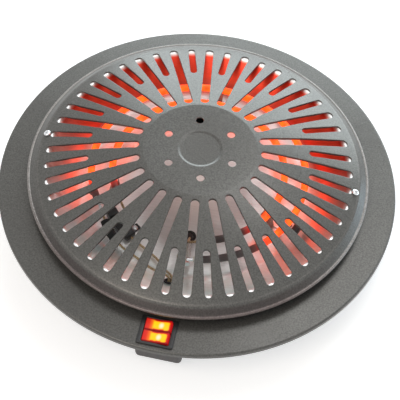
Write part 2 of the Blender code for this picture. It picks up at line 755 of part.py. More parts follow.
def clip_line():
    """The clip's under face, from the inner hook past the riveted foot to the outer hook."""
    reach = TUBE_RADIUS + CLIP_CLEARANCE + CLIP_SHEET
    under = RING_Z - TUBE_RADIUS - GAP - CLIP_SHEET
    hook = RING_Z + CLIP_HOOK
    foot = FLOOR_Z + GAP
    half = CLIP_FOOT / 2
    return [(INNER_RING_RADIUS - reach, hook, 0), (INNER_RING_RADIUS - reach, under, TUBE_RADIUS),
            (INNER_RING_RADIUS + TUBE_RADIUS / 2, under, TUBE_RADIUS / 2), (MIDDLE_RADIUS - half, foot, 0),
            (MIDDLE_RADIUS + half, foot, 0), (OUTER_RING_RADIUS - TUBE_RADIUS / 2, under, TUBE_RADIUS / 2),
            (OUTER_RING_RADIUS + reach, under, TUBE_RADIUS), (OUTER_RING_RADIUS + reach, hook, 0)]


def rivet_section(grip):
    """A rivet through a grip that ends at z = 0: a dome head above, a closed head below."""
    head, shank = RIVET_HEAD_RADIUS, RIVET_RADIUS
    dome_share = 0.6
    return [(0, -grip - RIVET_HEAD_HEIGHT), (head * dome_share, -grip - RIVET_HEAD_HEIGHT),
            (head * dome_share, -grip - GAP), (shank, -grip - GAP), (shank, GAP), (head, GAP),
            (head * dome_share, RIVET_HEAD_HEIGHT), (0, RIVET_HEAD_HEIGHT + GAP)]


def make_ring_clips():
    line = rounded(clip_line())
    section = sheet_section(line, -CLIP_SHEET)
    for k, angle in enumerate(CLIP_ANGLES):
        bm = prism([tuple(p) for p in section], -CLIP_WIDTH / 2, CLIP_WIDTH / 2)
        upright = Matrix.Rotation(math.pi / 2, 4, "X")
        placed(bm, around(angle) @ upright)
        clip = mesh_object("ring_clip_%d" % (k + 1), bm, "zinc")
        foot = polar(MIDDLE_RADIUS, angle, FLOOR_Z - OVERRUN)
        drill = rod(RIVET_RADIUS + BORE_CLEARANCE, 2 * OVERRUN, foot, Vector((0, 0, 1)))
        cut(clip, mesh_object("ring_clip_%d_cutter" % (k + 1), drill, "zinc"))
        grip = CLIP_SHEET + GAP + ALUMINIUM_SHEET
        seat = FLOOR_Z + GAP + CLIP_SHEET
        turned("clip_rivet_%d" % (k + 1), rivet_section(grip), "zinc", HIDDEN_SIDES,
               Matrix.Translation(polar(MIDDLE_RADIUS, angle, seat)))


# Thermal cut-out

def cutout_frame():
    """Local x runs outward along the radius and y along the cut-out, and z = 0 is the cut-out's underside."""
    return around(CUTOUT_ANGLE) @ Matrix.Translation((MIDDLE_RADIUS, 0, FLOOR_Z + GAP))


def cutout_rivet_place():
    x = -CUTOUT_WIDTH / 2 - CUTOUT_LUG_LENGTH / 2
    return cutout_frame() @ Vector((x, CUTOUT_LUG_OFFSET, CLIP_SHEET))


def make_thermal_cutout():
    body = block((CUTOUT_WIDTH, CUTOUT_LENGTH, CUTOUT_HEIGHT), Vector((0, 0, CUTOUT_HEIGHT / 2)), CUTOUT_EDGE)
    cutout = mesh_object("thermal_cutout", placed(body, cutout_frame()), "black")
    lug_length = CUTOUT_LUG_LENGTH + CUTOUT_WIDTH / 2
    lug = block((lug_length, CUTOUT_LUG_WIDTH, CLIP_SHEET), Vector((-lug_length / 2 - CUTOUT_EDGE,
                                                                    CUTOUT_LUG_OFFSET, CLIP_SHEET / 2)))
    cut(cutout, mesh_object("thermal_cutout_lug", placed(lug, cutout_frame()), "black"), "UNION")
    foot = cutout_rivet_place() - Vector((0, 0, OVERRUN))
    drill = rod(RIVET_RADIUS + BORE_CLEARANCE, 2 * OVERRUN, foot, Vector((0, 0, 1)))
    cut(cutout, mesh_object("thermal_cutout_drill", drill, "black"))
    turned("thermal_cutout_rivet", rivet_section(CLIP_SHEET + GAP + ALUMINIUM_SHEET), "zinc", HIDDEN_SIDES,
           Matrix.Translation(cutout_rivet_place()))


# Grommets

def grommet_section(bore, sheet):
    """A rubber ring buttoned into a sheet whose upper face is z = 0."""
    neck, lip = bore + GROMMET_WALL, bore + GROMMET_WALL + GROMMET_LIP
    top, low = GAP + GROMMET_THICKNESS, -sheet - GAP - GROMMET_THICKNESS
    return [(bore, low), (lip, low), (lip, -sheet - GAP), (neck, -sheet - GAP), (neck, GAP), (lip, GAP),
            (lip, top), (bore, top)]


def make_grommets():
    turned("pan_grommet", grommet_section(PAN_GROMMET_BORE, STEEL_SHEET), "rubber", HIDDEN_SIDES,
           pan_wall_frame(PAN_GROMMET_Z))
    turned("floor_grommet", grommet_section(FLOOR_GROMMET_BORE, ALUMINIUM_SHEET), "rubber", HIDDEN_SIDES,
           Matrix.Translation(polar(*FLOOR_GROMMET_PLACE, FLOOR_Z)))
    turned("wall_grommet", grommet_section(WALL_GROMMET_BORE, ALUMINIUM_SHEET), "rubber", HIDDEN_SIDES,
           reflector_wall_frame())


# Lofts

def plan_ring(left, right, front, back, corner, z):
    """A rounded rectangle in plan at one height."""
    points = []
    for cx, cy, start in ((right - corner, back - corner, 0), (left + corner, back - corner, 1),
                          (left + corner, front + corner, 2), (right - corner, front + corner, 3)):
        for k in range(CORNER_STEPS + 1):
            angle = math.pi / 2 * (start + k / CORNER_STEPS)
            points.append((cx + corner * math.cos(angle), cy + corner * math.sin(angle), z))
    return points


def lofted(rings):
    """Joins rings of equally many points into one closed solid, with its first and last ring filled."""
    bm = bmesh.new()
    verts = [[bm.verts.new(point) for point in ring] for ring in rings]
    for ring, following in zip(verts, verts[1:]):
        join_rings(bm, ring, following)
    bm.faces.new(verts[0])
    bm.faces.new(verts[-1])
    return bm


# Switch

def switch_ring(length, width, corner, z):
    return plan_ring(-length / 2, length / 2, SWITCH_Y - width / 2, SWITCH_Y + width / 2, corner, z)


def tab_places():
    return [(TAB_PITCH * column, SWITCH_Y + ROCKER_ROW * row) for row in (1, -1) for column in (-1, 0, 1)]


def make_switch_housing():
    seat = FLANGE_Z + GAP
    collar = FLANGE_Z - HOUSING_COLLAR
    waist_length, waist_width = BODY_LENGTH - 2 * HOUSING_WAIST, BODY_WIDTH - 2 * HOUSING_WAIST
    top_length, top_width = BEZEL_LENGTH - 2 * BEZEL_EDGE, BEZEL_WIDTH - 2 * BEZEL_EDGE
    corner = HOUSING_CORNER
    rings = [switch_ring(waist_length, waist_width, corner, HOUSING_BOTTOM_Z),
             switch_ring(waist_length, waist_width, corner, collar),
             switch_ring(BODY_LENGTH, BODY_WIDTH, corner, collar),
             switch_ring(BODY_LENGTH, BODY_WIDTH, corner, seat),
             switch_ring(BEZEL_LENGTH, BEZEL_WIDTH, BEZEL_CORNER, seat),
             switch_ring(BEZEL_LENGTH, BEZEL_WIDTH, BEZEL_CORNER, SWITCH_TOP_Z - BEZEL_EDGE),
             switch_ring(top_length, top_width, BEZEL_CORNER, SWITCH_TOP_Z),
             switch_ring(WELL_LENGTH, WELL_WIDTH, corner, SWITCH_TOP_Z),
             switch_ring(WELL_LENGTH, WELL_WIDTH, corner, SWITCH_TOP_Z - WELL_DEPTH)]
    housing = mesh_object("switch_housing", lofted(rings), "black")
    cutters = [rod(PIVOT_PIN_RADIUS + BORE_CLEARANCE, BODY_WIDTH + 2 * OVERRUN,
                   Vector((0, SWITCH_Y - BODY_WIDTH / 2 - OVERRUN, PIVOT_Z)), Vector((0, 1, 0)))]
    for x, y in tab_places():
        height = TAB_SEAT + OVERRUN
        cutters.append(block((TAB_THICKNESS + 2 * GAP, TAB_WIDTH + 2 * GAP, height),
                             Vector((x, y, HOUSING_BOTTOM_Z + TAB_SEAT - height / 2))))
    cut(housing, mesh_object("switch_housing_cutter", joined(*cutters), "black"))


def rocker_outline(inset, floor):
    """The rocker's side view about its pivot: two faces that meet in a valley, and ends that are arcs.

    Inset moves every side but the bottom inward, and the bottom lies at the height floor.
    """
    radius = WELL_LENGTH / 2 - GAP - inset
    valley = PIVOT_DEPTH + ROCKER_VALLEY - inset / math.cos(ROCKER_TILT)
    slope = math.tan(ROCKER_TILT)
    tip = (-slope * valley + math.sqrt(radius ** 2 * (1 + slope ** 2) - valley ** 2)) / (1 + slope ** 2)
    high = math.atan2(valley + slope * tip, tip)
    low = -math.asin(min(-floor, radius * math.sin(math.pi / 4)) / radius)
    turns = [low + (high - low) * k / ROCKER_END_STEPS for k in range(ROCKER_END_STEPS + 1)]
    right = [(radius * math.cos(turn), radius * math.sin(turn)) for turn in turns]
    right[0] = (right[0][0], floor)
    return right + [(0, valley)] + [(-x, z) for x, z in right[::-1]]


def make_rockers():
    upright = Matrix.Rotation(math.pi / 2, 4, "X")
    for name, row in (("inner", 1), ("outer", -1)):
        place = Vector((0, SWITCH_Y + row * ROCKER_ROW, PIVOT_Z))
        half = ROCKER_WIDTH / 2
        shell = placed(prism(rocker_outline(0, -ROCKER_SKIRT), -half, half), upright)
        rocker = mesh_object("rocker_" + name, shell, "red")
        hollow = placed(prism(rocker_outline(ROCKER_WALL, -ROCKER_SKIRT - OVERRUN), ROCKER_WALL - half,
                              half - ROCKER_WALL), upright)
        bore = (PIVOT_PIN_RADIUS + RUNNING_CLEARANCE) / math.cos(math.pi / SMALL_SIDES)
        drill = rod(bore, ROCKER_WIDTH + 2 * OVERRUN, Vector((0, -half - OVERRUN, 0)), Vector((0, 1, 0)))
        cutters = [mesh_object("rocker_%s_hollow" % name, hollow, "red"),
                   mesh_object("rocker_%s_drill" % name, drill, "red")]
        for obj in [rocker] + cutters:
            obj.location = place
            obj.rotation_euler = (0, -ROCKER_TILT, 0)
        for cutter in cutters:
            cut(rocker, cutter)


def make_switch_inside():
    length = BODY_WIDTH - 2 * GAP
    pin = rod(PIVOT_PIN_RADIUS, length, Vector((0, SWITCH_Y - length / 2, PIVOT_Z)), Vector((0, 1, 0)))
    mesh_object("rocker_pin", pin, "zinc")
    foot = SWITCH_TOP_Z - WELL_DEPTH + GAP
    shoulder_share, tip_share = 0.7, 0.6
    bulb = [(0, 0), (LAMP_RADIUS, 0), (LAMP_RADIUS, LAMP_LENGTH * shoulder_share),
            (LAMP_RADIUS * tip_share, LAMP_LENGTH), (0, LAMP_LENGTH)]
    for name, row in (("inner", 1), ("outer", -1)):
        turned("switch_lamp_" + name, bulb, "lamp",
               frame=Matrix.Translation((LAMP_OFFSET, SWITCH_Y + row * ROCKER_ROW, foot)))
    for k, (x, y) in enumerate(tab_places()):
        height = TAB_SEAT - GAP + TAB_LENGTH
        centre = Vector((x, y, HOUSING_BOTTOM_Z + TAB_SEAT - GAP - height / 2))
        mesh_object("switch_tab_%d" % (k + 1), block((TAB_THICKNESS, TAB_WIDTH, height), centre), "brass")


# Switch box

def box_ring(inset, rise):
    """The box's plan at a height above its bottom, moved in from its outer faces by an inset."""
    share = 1 - rise / BOX_DEPTH
    front = -(RIM_RADIUS - BOX_RIM_MARGIN) + BOX_DRAFT * share
    return plan_ring(-BOX_LEFT + inset, BOX_RIGHT - inset, front + inset, box_back() - inset,
                     max(BOX_CORNER - inset, BOX_WALL), BOX_BOTTOM_Z + rise)


def box_back():
    """The box's rear face clears the pan's wall."""
    return -(pan_wall_radius() + STEEL_SHEET + BOX_PAN_SPACE)


def make_switch_box():
    outer, inner = [], []
    for shell, wall in ((outer, 0), (inner, BOX_WALL)):
        bend = BOX_CORNER - wall
        shell.append(box_ring(wall, BOX_DEPTH))
        for k in range(CORNER_STEPS + 1):
            angle = math.pi / 2 * k / CORNER_STEPS
            shell.append(box_ring(wall + bend * (1 - math.cos(angle)), wall + bend * (1 - math.sin(angle))))
    box = mesh_object("switch_box", lofted(outer[::-1] + inner), "graphite")
    for name, side in (("right", 1), ("left", -1)):
        wall = BOX_RIGHT if side > 0 else BOX_LEFT
        near, far = sorted((side * (wall - BOX_WALL / 2), side * (wall + EAR_LENGTH)))
        low, high = ear_heights()
        ear = lofted([plan_ring(near, far, SWITCH_Y - EAR_WIDTH / 2, SWITCH_Y + EAR_WIDTH / 2, EAR_CORNER, z)
                      for z in (low, high)])
        cut(box, mesh_object("switch_box_ear_" + name, ear, "graphite"), "UNION")
    drills = []
    for side in (1, -1):
        place = stud_place(side)
        drills.append(rod(STUD_RADIUS + BORE_CLEARANCE, 2 * OVERRUN + BOX_WALL,
                          Vector((place.x, place.y, ear_heights()[0] - OVERRUN)), Vector((0, 0, 1))))
    gland = gland_place()
    drills.append(rod(GLAND_BORE + GLAND_WALL + GAP, BOX_WALL + 2 * OVERRUN,
                      gland - Vector((BOX_WALL + OVERRUN, 0, 0)), Vector((1, 0, 0))))
    hole = Vector((0, box_back() - BOX_WALL - OVERRUN, PAN_GROMMET_Z - BOX_LEAD_HOLE_DROP))
    drills.append(rod(BOX_LEAD_HOLE, BOX_WALL + 2 * OVERRUN, hole, Vector((0, 1, 0))))
    cut(box, mesh_object("switch_box_cutter", joined(*drills), "graphite"))


def ear_heights():
    top = UNDER_FLANGE_Z - 2 * GAP
    return top - BOX_WALL, top


def stud_place(side):
    wall = BOX_RIGHT if side > 0 else BOX_LEFT
    return Vector((side * (wall + EAR_LENGTH / 2), SWITCH_Y, UNDER_FLANGE_Z - GAP))


def gland_place():
    """The middle of the gland on the outside of the box's right wall."""
    return Vector((BOX_RIGHT, SWITCH_Y, FLANGE_Z - GLAND_DROP))


def make_box_fixings():
    for name, side in (("right", 1), ("left", -1)):
        stud = rod(STUD_RADIUS, STUD_LENGTH, stud_place(side), Vector((0, 0, -1)))
        mesh_object("box_stud_" + name, stud, "zinc")
        place = stud_place(side)
        place.z = ear_heights()[0] - GAP - NUT_HEIGHT
        mesh_object("box_nut_" + name, nut_bm(STUD_RADIUS, Matrix.Translation(place)), "zinc")
    bore, neck = GLAND_BORE, GLAND_BORE + GLAND_WALL
    lip = neck + GLAND_LIP
    inside = -BOX_WALL - GAP
    section = [(bore, inside - GLAND_FLANGE), (lip, inside - GLAND_FLANGE), (lip, inside), (neck, inside),
               (neck, GAP), (lip, GAP), (lip, GAP + GLAND_FLANGE), (neck, GAP + GLAND_FLANGE),
               (bore + GLAND_WALL / 2, GLAND_NOSE), (bore, GLAND_NOSE)]
    turned("cord_gland", section, "rubber", HIDDEN_SIDES, axis_frame(gland_place(), Vector((1, 0, 0))))


# Feet

def make_feet():
    recess, top = FOOT_RECESS_DEPTH, FOOT_HEIGHT - GAP
    bore = SCREW_RADIUS + BORE_CLEARANCE
    foot = [(FOOT_RECESS_RADIUS, 0), (FOOT_RADIUS - FOOT_TAPER, 0), (FOOT_RADIUS, top), (bore, top),
            (bore, recess), (FOOT_RECESS_RADIUS, recess)]
    for k, angle in enumerate(FOOT_ANGLES):
        place = polar(foot_circle(), angle, 0)
        turned("foot_%d" % (k + 1), foot, "rubber", frame=Matrix.Translation(place))
        length = PAN_FLOOR_Z + OVERRUN - recess
        seat = Matrix.Translation(place + Vector((0, 0, recess - GAP)))
        head_down = seat @ Matrix.Rotation(math.pi, 4, "X")
        turned("foot_screw_%d" % (k + 1), screw_section(length), "zinc", HIDDEN_SIDES, head_down)


# Leads

def smooth_points(points, steps):
    """Points along a smooth curve through the given ones, with the tangents of their neighbours' chords."""
    padded = [2 * points[0] - points[1]] + points + [2 * points[-1] - points[-2]]
    result = [points[0]]
    for a, b, c, d in zip(padded, padded[1:], padded[2:], padded[3:]):
        for k in range(1, steps + 1):
            t = k / steps
            result.append(0.5 * ((2 * b) + (c - a) * t + (2 * a - 5 * b + 4 * c - d) * t ** 2
                                 + (3 * b - a - 3 * c + d) * t ** 3))
    return result


def lane(frame, x, y, heights):
    """Points that pass a grommet beside its other leads, along its axis."""
    return [frame @ Vector((x, y, z)) for z in heights]


def route(points, side=1, shift=0.0):
    """Route points in x, y and height above the flange: x is mirrored for side -1, and may be shifted."""
    return [Vector((side * x + shift, y, FLANGE_Z + z)) for x, y, z in points]


# Free stretches of the leads, each point in x, y and height above the flange
OUTER_RIGHT_ROUTE = ((0.0023, -0.1014, 0.0110), (0.0016, -0.0970, 0.0085), (0.0024, -0.0880, 0.0030),
                     (0.0036, -0.0760, -0.0005), (0.0041, -0.0688, -0.0024))
INNER_RIGHT_ROUTE = ((0.0082, -0.0824, 0.0100), (0.0070, -0.0785, 0.0060), (0.0071, -0.0720, 0.0005),
                     (0.0072, -0.0680, -0.0028))
UNDER_FLOOR_ROUTE = ((0.0056, -0.0700, -0.0165), (0.0040, -0.0920, -0.0175), (0.0018, -0.1200, -0.0172))
OUTER_LEFT_ROUTE = ((-0.0662, -0.0847, 0.0060), (-0.0512, -0.0962, 0.0015), (-0.0355, -0.1031, 0.0000),
                    (-0.0226, -0.1112, 0.0020), (-0.0103, -0.1176, 0.0066), (-0.0040, -0.1204, 0.0098))
CUTOUT_ROUTE = ((-0.0352, -0.0872, -0.0045), (-0.0242, -0.0934, -0.0045), (-0.0158, -0.0998, -0.0035),
                (-0.0095, -0.1081, 0.0000), (-0.0036, -0.1152, 0.0056))
INNER_LEFT_ROUTE = ((-0.0593, -0.0588, 0.0108), (-0.0570, -0.0600, 0.0070), (-0.0544, -0.0592, 0.0025),
                    (-0.0528, -0.0578, -0.0014), (-0.0536, -0.0588, -0.0038))
WALL_TO_PAN_ROUTE = ((0.0016, -0.1310, -0.0080),)
BOX_REAR_ROUTE = ((0.0035, -0.1545, -0.0175), (0.0074, -0.1596, -0.0218))
BOX_FRONT_ROUTE = ((0.0026, -0.1540, -0.0215), (0.0040, -0.1600, -0.0228), (0.0040, -0.1680, -0.0225),
                   (0.0066, -0.1722, -0.0225))


def from_pan_to_tab(side, row):
    """The stretch that four leads share but for their lane: through the pan's grommet to a tab of one row."""
    heights = (-LEAD_STRAIGHT - STEEL_SHEET, 0, LEAD_STRAIGHT)
    points = lane(pan_wall_frame(PAN_GROMMET_Z), -row * LEAD_LANE, side * LEAD_LANE, heights)
    points += route(BOX_REAR_ROUTE if row > 0 else BOX_FRONT_ROUTE, side)
    tab = Vector((side * TAB_PITCH, SWITCH_Y + row * ROCKER_ROW + TAB_WIDTH / 2 + GAP, TAB_LEAD_Z))
    return points + [tab]


def make_leads():
    floor = Matrix.Translation(polar(*FLOOR_GROMMET_PLACE, FLOOR_Z))
    wall = reflector_wall_frame()
    inside, below = LEAD_STRAIGHT, -LEAD_STRAIGHT - ALUMINIUM_SHEET
    routes = {}
    for name, points, side in (("outer", OUTER_RIGHT_ROUTE, -1), ("inner", INNER_RIGHT_ROUTE, 1)):
        tip, way = pin_tip(name, "right")
        routes["lead_%s_right" % name] = ([tip, tip + way * LEAD_STRAIGHT] + route(points)
                                          + lane(floor, side * LEAD_LANE, 0, (0, below))
                                          + route(UNDER_FLOOR_ROUTE, shift=side * LEAD_LANE)
                                          + from_pan_to_tab(side, -1))
    tip, way = pin_tip("outer", "left")
    routes["lead_outer_left"] = ([tip, tip + way * LEAD_STRAIGHT] + route(OUTER_LEFT_ROUTE)
                                 + lane(wall, LEAD_DIAGONAL, -LEAD_DIAGONAL, (inside, below))
                                 + route(WALL_TO_PAN_ROUTE, -1) + from_pan_to_tab(-1, 1))
    start = cutout_frame() @ Vector((0, CUTOUT_LENGTH / 2 + GAP, CUTOUT_HEIGHT / 2))
    straight = cutout_frame() @ Vector((0, CUTOUT_LENGTH / 2 + LEAD_STRAIGHT, CUTOUT_HEIGHT / 2))
    routes["lead_cutout"] = ([start, straight] + route(CUTOUT_ROUTE)
                             + lane(wall, -LEAD_DIAGONAL, LEAD_DIAGONAL, (inside, below))
                             + route(WALL_TO_PAN_ROUTE) + from_pan_to_tab(1, 1))
    tip, way = pin_tip("inner", "left")
    face = [cutout_frame() @ Vector((-CUTOUT_WIDTH / 2 - reach, -CUTOUT_LEAD_OFFSET, CUTOUT_HEIGHT / 2))
            for reach in (LEAD_STRAIGHT, GAP)]
    routes["lead_inner_left"] = [tip, tip + way * LEAD_STRAIGHT / 2] + route(INNER_LEFT_ROUTE) + face
    for name, points in routes.items():
        tube(name, smooth_points(points, LEAD_STEPS), LEAD_RADIUS, "sleeve", LEAD_BEVEL_STEPS)


clear_scene()
make_guard()
make_rim_plate()
make_base_pan()
make_reflector()
make_guard_screws()
make_heating_rings()
make_ring_clips()
make_thermal_cutout()
make_grommets()
make_switch_housing()
make_rockers()
make_switch_inside()
make_switch_box()
make_box_fixings()
make_feet()
make_leads()
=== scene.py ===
# %% [markdown]
# # A round electric brazier
# A brazier is a low heater that stands under a table. Two glowing rings lie in a polished dish, a slotted
# steel guard keeps feet off them, and a wide rim carries the switch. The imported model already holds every
# piece at its real size and place. This file gives each piece its finish, and a finer surface where the
# packed one is coarse.

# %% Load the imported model
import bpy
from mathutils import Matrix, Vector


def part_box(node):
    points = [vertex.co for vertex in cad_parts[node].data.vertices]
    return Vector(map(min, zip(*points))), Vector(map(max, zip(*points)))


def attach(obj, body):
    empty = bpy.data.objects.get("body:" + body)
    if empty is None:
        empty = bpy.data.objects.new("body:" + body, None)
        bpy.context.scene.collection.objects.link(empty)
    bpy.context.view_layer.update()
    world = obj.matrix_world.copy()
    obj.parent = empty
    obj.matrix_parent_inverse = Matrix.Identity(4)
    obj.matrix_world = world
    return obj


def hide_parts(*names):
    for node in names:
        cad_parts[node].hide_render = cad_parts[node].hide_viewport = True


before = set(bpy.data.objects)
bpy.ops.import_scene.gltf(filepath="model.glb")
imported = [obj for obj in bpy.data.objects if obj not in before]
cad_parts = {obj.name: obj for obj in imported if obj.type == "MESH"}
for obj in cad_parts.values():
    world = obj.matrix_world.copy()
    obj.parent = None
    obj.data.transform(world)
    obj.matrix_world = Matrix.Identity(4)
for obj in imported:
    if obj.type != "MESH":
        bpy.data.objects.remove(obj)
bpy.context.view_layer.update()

# %% [markdown]
# The surfaces are worked out with numpy. Blender's bmesh merges and bevels them, and its vectors and matrices
# put small pieces in their places.

# %% Modules
import math
from contextlib import contextmanager

import bmesh
import bpy
import numpy as np
from mathutils import Matrix, Vector

# %% [markdown]
# ## Sizes
# All sizes are in metres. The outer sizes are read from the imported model, so they can't drift from it. Its
# round pressings have 48 flat columns, whose corners lie on the true circle. The other sizes are the bends,
# the slots and the clearances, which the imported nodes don't state. A gap parts two pieces, a cutter runs over
# past what it cuts, and points nearer to each other than the weld distance become one.

# %% Main sizes
PACKED_COLUMNS = 48
FLAT_SHARE = math.cos(math.pi / PACKED_COLUMNS)
STEEL = 0.0010
ALUMINIUM = 0.0008
GAP = 0.0003
OVERRUN = 0.0030
WELD = 2e-6
RIM_LIP = 0.0050
RIM_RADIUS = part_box("rim_plate")[1].x / FLAT_SHARE
FLANGE_Z = 0.0460
DISC_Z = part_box("guard")[1].z
GUARD_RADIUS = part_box("guard")[1].x / FLAT_SHARE
COLLAR_RADIUS = 0.1545
LAND_OUTER = COLLAR_RADIUS - 0.0020
LAND_INNER = LAND_OUTER - 0.0075
DISC_RADIUS = 0.0530
SHOULDER_FALL = 0.0235
DOME_CROWN = 0.0017
print("rim radius %.4f, guard radius %.4f, height %.4f" % (RIM_RADIUS, GUARD_RADIUS, DISC_Z))

# %% [markdown]
# ## Surfaces from arrays
# Nearly every piece here is turned, bent or drawn from sheet, rod or tube. Such a surface is a grid: a
# section carried along a second direction. The whole grid is worked out as one numpy array, which is quicker
# than placing vertices one by one, and the faces are the same for every grid.

# %% Grids
def pairs(first, second):
    """Row k holds value k of the first array and value k of the second."""
    return np.stack((first, second), axis=1)


@contextmanager
def edited(mesh):
    """Opens a mesh for editing, and writes the result back to it."""
    bm = bmesh.new()
    bm.from_mesh(mesh)
    yield bm
    bm.to_mesh(mesh)
    bm.free()


def faced_outward(mesh):
    """Merges points that lie within the weld distance, then turns every face outward."""
    with edited(mesh) as bm:
        bmesh.ops.remove_doubles(bm, verts=bm.verts, dist=WELD)
        bmesh.ops.recalc_face_normals(bm, faces=bm.faces)
    return mesh


def grid_quads(rows, columns, close_rows, close_columns):
    """Each face joins point (i, j) to (i, j+1), (i+1, j+1) and (i+1, j), and wraps round where closed."""
    i, j = np.meshgrid(np.arange(rows - (not close_rows)), np.arange(columns - (not close_columns)),
                       indexing="ij")
    below, beside = (i + 1) % rows, (j + 1) % columns
    corners = (i * columns + j, i * columns + beside, below * columns + beside, below * columns + j)
    return np.stack(corners, axis=-1).reshape(-1, 4)


def welded(grids):
    """One mesh from several grids, given as (points, close_rows, close_columns). Equal points become one."""
    points, quads, count = [], [], 0
    for grid, close_rows, close_columns in grids:
        rows, columns = grid.shape[:2]
        points.append(grid.reshape(-1, 3))
        quads.append(grid_quads(rows, columns, close_rows, close_columns) + count)
        count += rows * columns
    mesh = bpy.data.meshes.new("welded")
    mesh.from_pydata(np.vstack(points), [], np.vstack(quads))
    return faced_outward(mesh)


# %% [markdown]
# A finished piece is smooth where its faces nearly meet flat and sharp at its edges. It rides on a body of
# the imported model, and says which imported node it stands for. Most of them ride on the base. A few small
# pieces stand for no node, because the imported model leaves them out.

# %% Pieces
SHARP = math.radians(32)


def shown(name, data):
    """A new object of this mesh, lamp or camera, put into the scene."""
    obj = bpy.data.objects.new(name, data)
    bpy.context.collection.objects.link(obj)
    return obj


def piece(name, mesh, material, replaces, body="base"):
    """Makes an object of the mesh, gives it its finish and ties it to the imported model."""
    mesh.name = name
    mesh.shade_smooth()
    mesh.set_sharp_from_angle(angle=SHARP)
    mesh.materials.clear()
    mesh.materials.append(material)
    obj = shown(name, mesh)
    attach(obj, body)
    if replaces:
        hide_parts(replaces)
    print("%s: %d faces" % (name, len(mesh.polygons)))


# %% [markdown]
# Holes are cut with a Boolean. Its exact solver needs closed shapes, and its result is kept as a plain mesh,
# so nothing has to be worked out again when the object is posed.

# %% Booleans
def worked_out(obj):
    """A plain mesh of what an object's modifiers make of it."""
    return bpy.data.meshes.new_from_object(obj.evaluated_get(bpy.context.evaluated_depsgraph_get()))


def combined(mesh, tools, operation="DIFFERENCE"):
    """The mesh with each closed tool mesh cut away, or joined on for a union."""
    body = shown("worked", mesh)
    helpers = [shown("tool", tool) for tool in tools]
    for helper in helpers:
        modifier = body.modifiers.new("tool", "BOOLEAN")
        modifier.operation = operation
        modifier.solver = "EXACT"
        modifier.object = helper
    result = worked_out(body)
    for obj in (body, *helpers):
        bpy.data.objects.remove(obj)
    return result


# %% [markdown]
# ### Sections
# A pressed sheet is drawn as one line, its shown face, with an arc at each bend. The back of the sheet is
# the same line moved aside by the thickness.

# %% Lines with bends
BEND_STEP = math.radians(7)
FEWEST_BEND_STEPS = 4


def bent(*corners):
    """A line through corners (r, z, bend radius), where each bend is an arc that touches both of its sides.

    A point of the arc at the angle t is centre + start cos t - back radius sin t.
    """
    line = [np.array(corners[0][:2])]
    for before, (r, z, bend), after in zip(corners, corners[1:], corners[2:]):
        here = np.array((r, z))
        back, ahead = np.array(before[:2]) - here, np.array(after[:2]) - here
        longest = min(np.linalg.norm(back), np.linalg.norm(ahead)) / 2
        back, ahead = back / np.linalg.norm(back), ahead / np.linalg.norm(ahead)
        turn = math.pi - math.acos(np.clip(back @ ahead, -1, 1))
        if bend == 0 or turn < WELD:
            line.append(here)
            continue
        reach = min(bend * math.tan(turn / 2), longest)
        radius = reach / math.tan(turn / 2)
        centre = here + (back + ahead) / np.linalg.norm(back + ahead) * math.hypot(radius, reach)
        start = here + back * reach - centre
        steps = max(FEWEST_BEND_STEPS, math.ceil(turn / BEND_STEP) + 1)
        angles = np.linspace(0, turn, steps)[:, None]
        line.extend(centre + start * np.cos(angles) - back * radius * np.sin(angles))
    line.append(np.array(corners[-1][:2]))
    return np.array(line)


def aside(line, distance):
    """The line moved to its right: each point goes along its two sides' mean normal, mitred."""
    along = np.diff(line, axis=0)
    along /= np.linalg.norm(along, axis=1)[:, None]
    normals = pairs(along[:, 1], -along[:, 0])
    before, after = np.vstack((normals[:1], normals)), np.vstack((normals, normals[-1:]))
    return line + (before + after) * distance / (1 + np.sum(before * after, axis=1))[:, None]


def sheet(face, thickness):
    """A closed section: the shown face out, and the back of the sheet home again."""
    return np.vstack((face, aside(face, thickness)[::-1]))


# %% [markdown]
# A turned piece is one section carried round its axis, as on a lathe or in a round die. The wide pressings
# have 240 columns or more, so that their edges look round from close by. A screw or a foot needs only a few
# dozen.

# %% Turned shapes
COLUMNS = 240
SMALL_COLUMNS = 32


def turned(section, angles):
    """Row k is the section's point k, turned through every angle a: (r cos a, r sin a, z)."""
    section = np.asarray(section, float)
    r, z = section[:, :1], section[:, 1:]
    return np.stack((r * np.cos(angles), r * np.sin(angles), z + 0 * angles), axis=-1)


def evenly(columns):
    """The angles of so many even columns round a full turn."""
    return np.arange(columns) * math.tau / columns


def lathe(section, columns=SMALL_COLUMNS, place=None):
    """A section turned right round. It may be closed on itself, or start and end on the axis."""
    section = np.asarray(section, float)
    on_axis = abs(section[0, 0]) < WELD and abs(section[-1, 0]) < WELD
    mesh = welded([(turned(section, evenly(columns)), not on_axis, True)])
    if place:
        mesh.transform(place)
    return mesh


# %% [markdown]
# A small piece stands somewhere: a frame is the matrix that carries its own z axis to that place.

# %% Frames
UP = Vector((0, 0, 1))
ALONG_X, ALONG_Y = Vector((1, 0, 0)), Vector((0, 1, 0))


def around(angle):
    """A turn about the z axis."""
    return Matrix.Rotation(angle, 4, "Z")


def moved(x, y, z):
    """A move without a turn."""
    return Matrix.Translation((x, y, z))


def polar(radius, angle, z):
    """A place so far from the axis, in a direction, at a height."""
    return Vector((radius * math.cos(angle), radius * math.sin(angle), z))


def axis_frame(point, direction):
    """Carries the z axis onto a line through a point along a direction."""
    return Matrix.Translation(point) @ UP.rotation_difference(direction).to_matrix().to_4x4()


# %% [markdown]
# A hole is cut by a solid that passes right through the sheet. Each drill runs on past both faces, because a
# cutter that ends exactly on a face leaves a skin there.

# %% Drills and cutters
def rod(radius, length, point, direction, columns=SMALL_COLUMNS):
    """A plain cylinder from a point along a direction."""
    return lathe([(0, 0), (radius, 0), (radius, length), (0, length)], columns, axis_frame(point, direction))


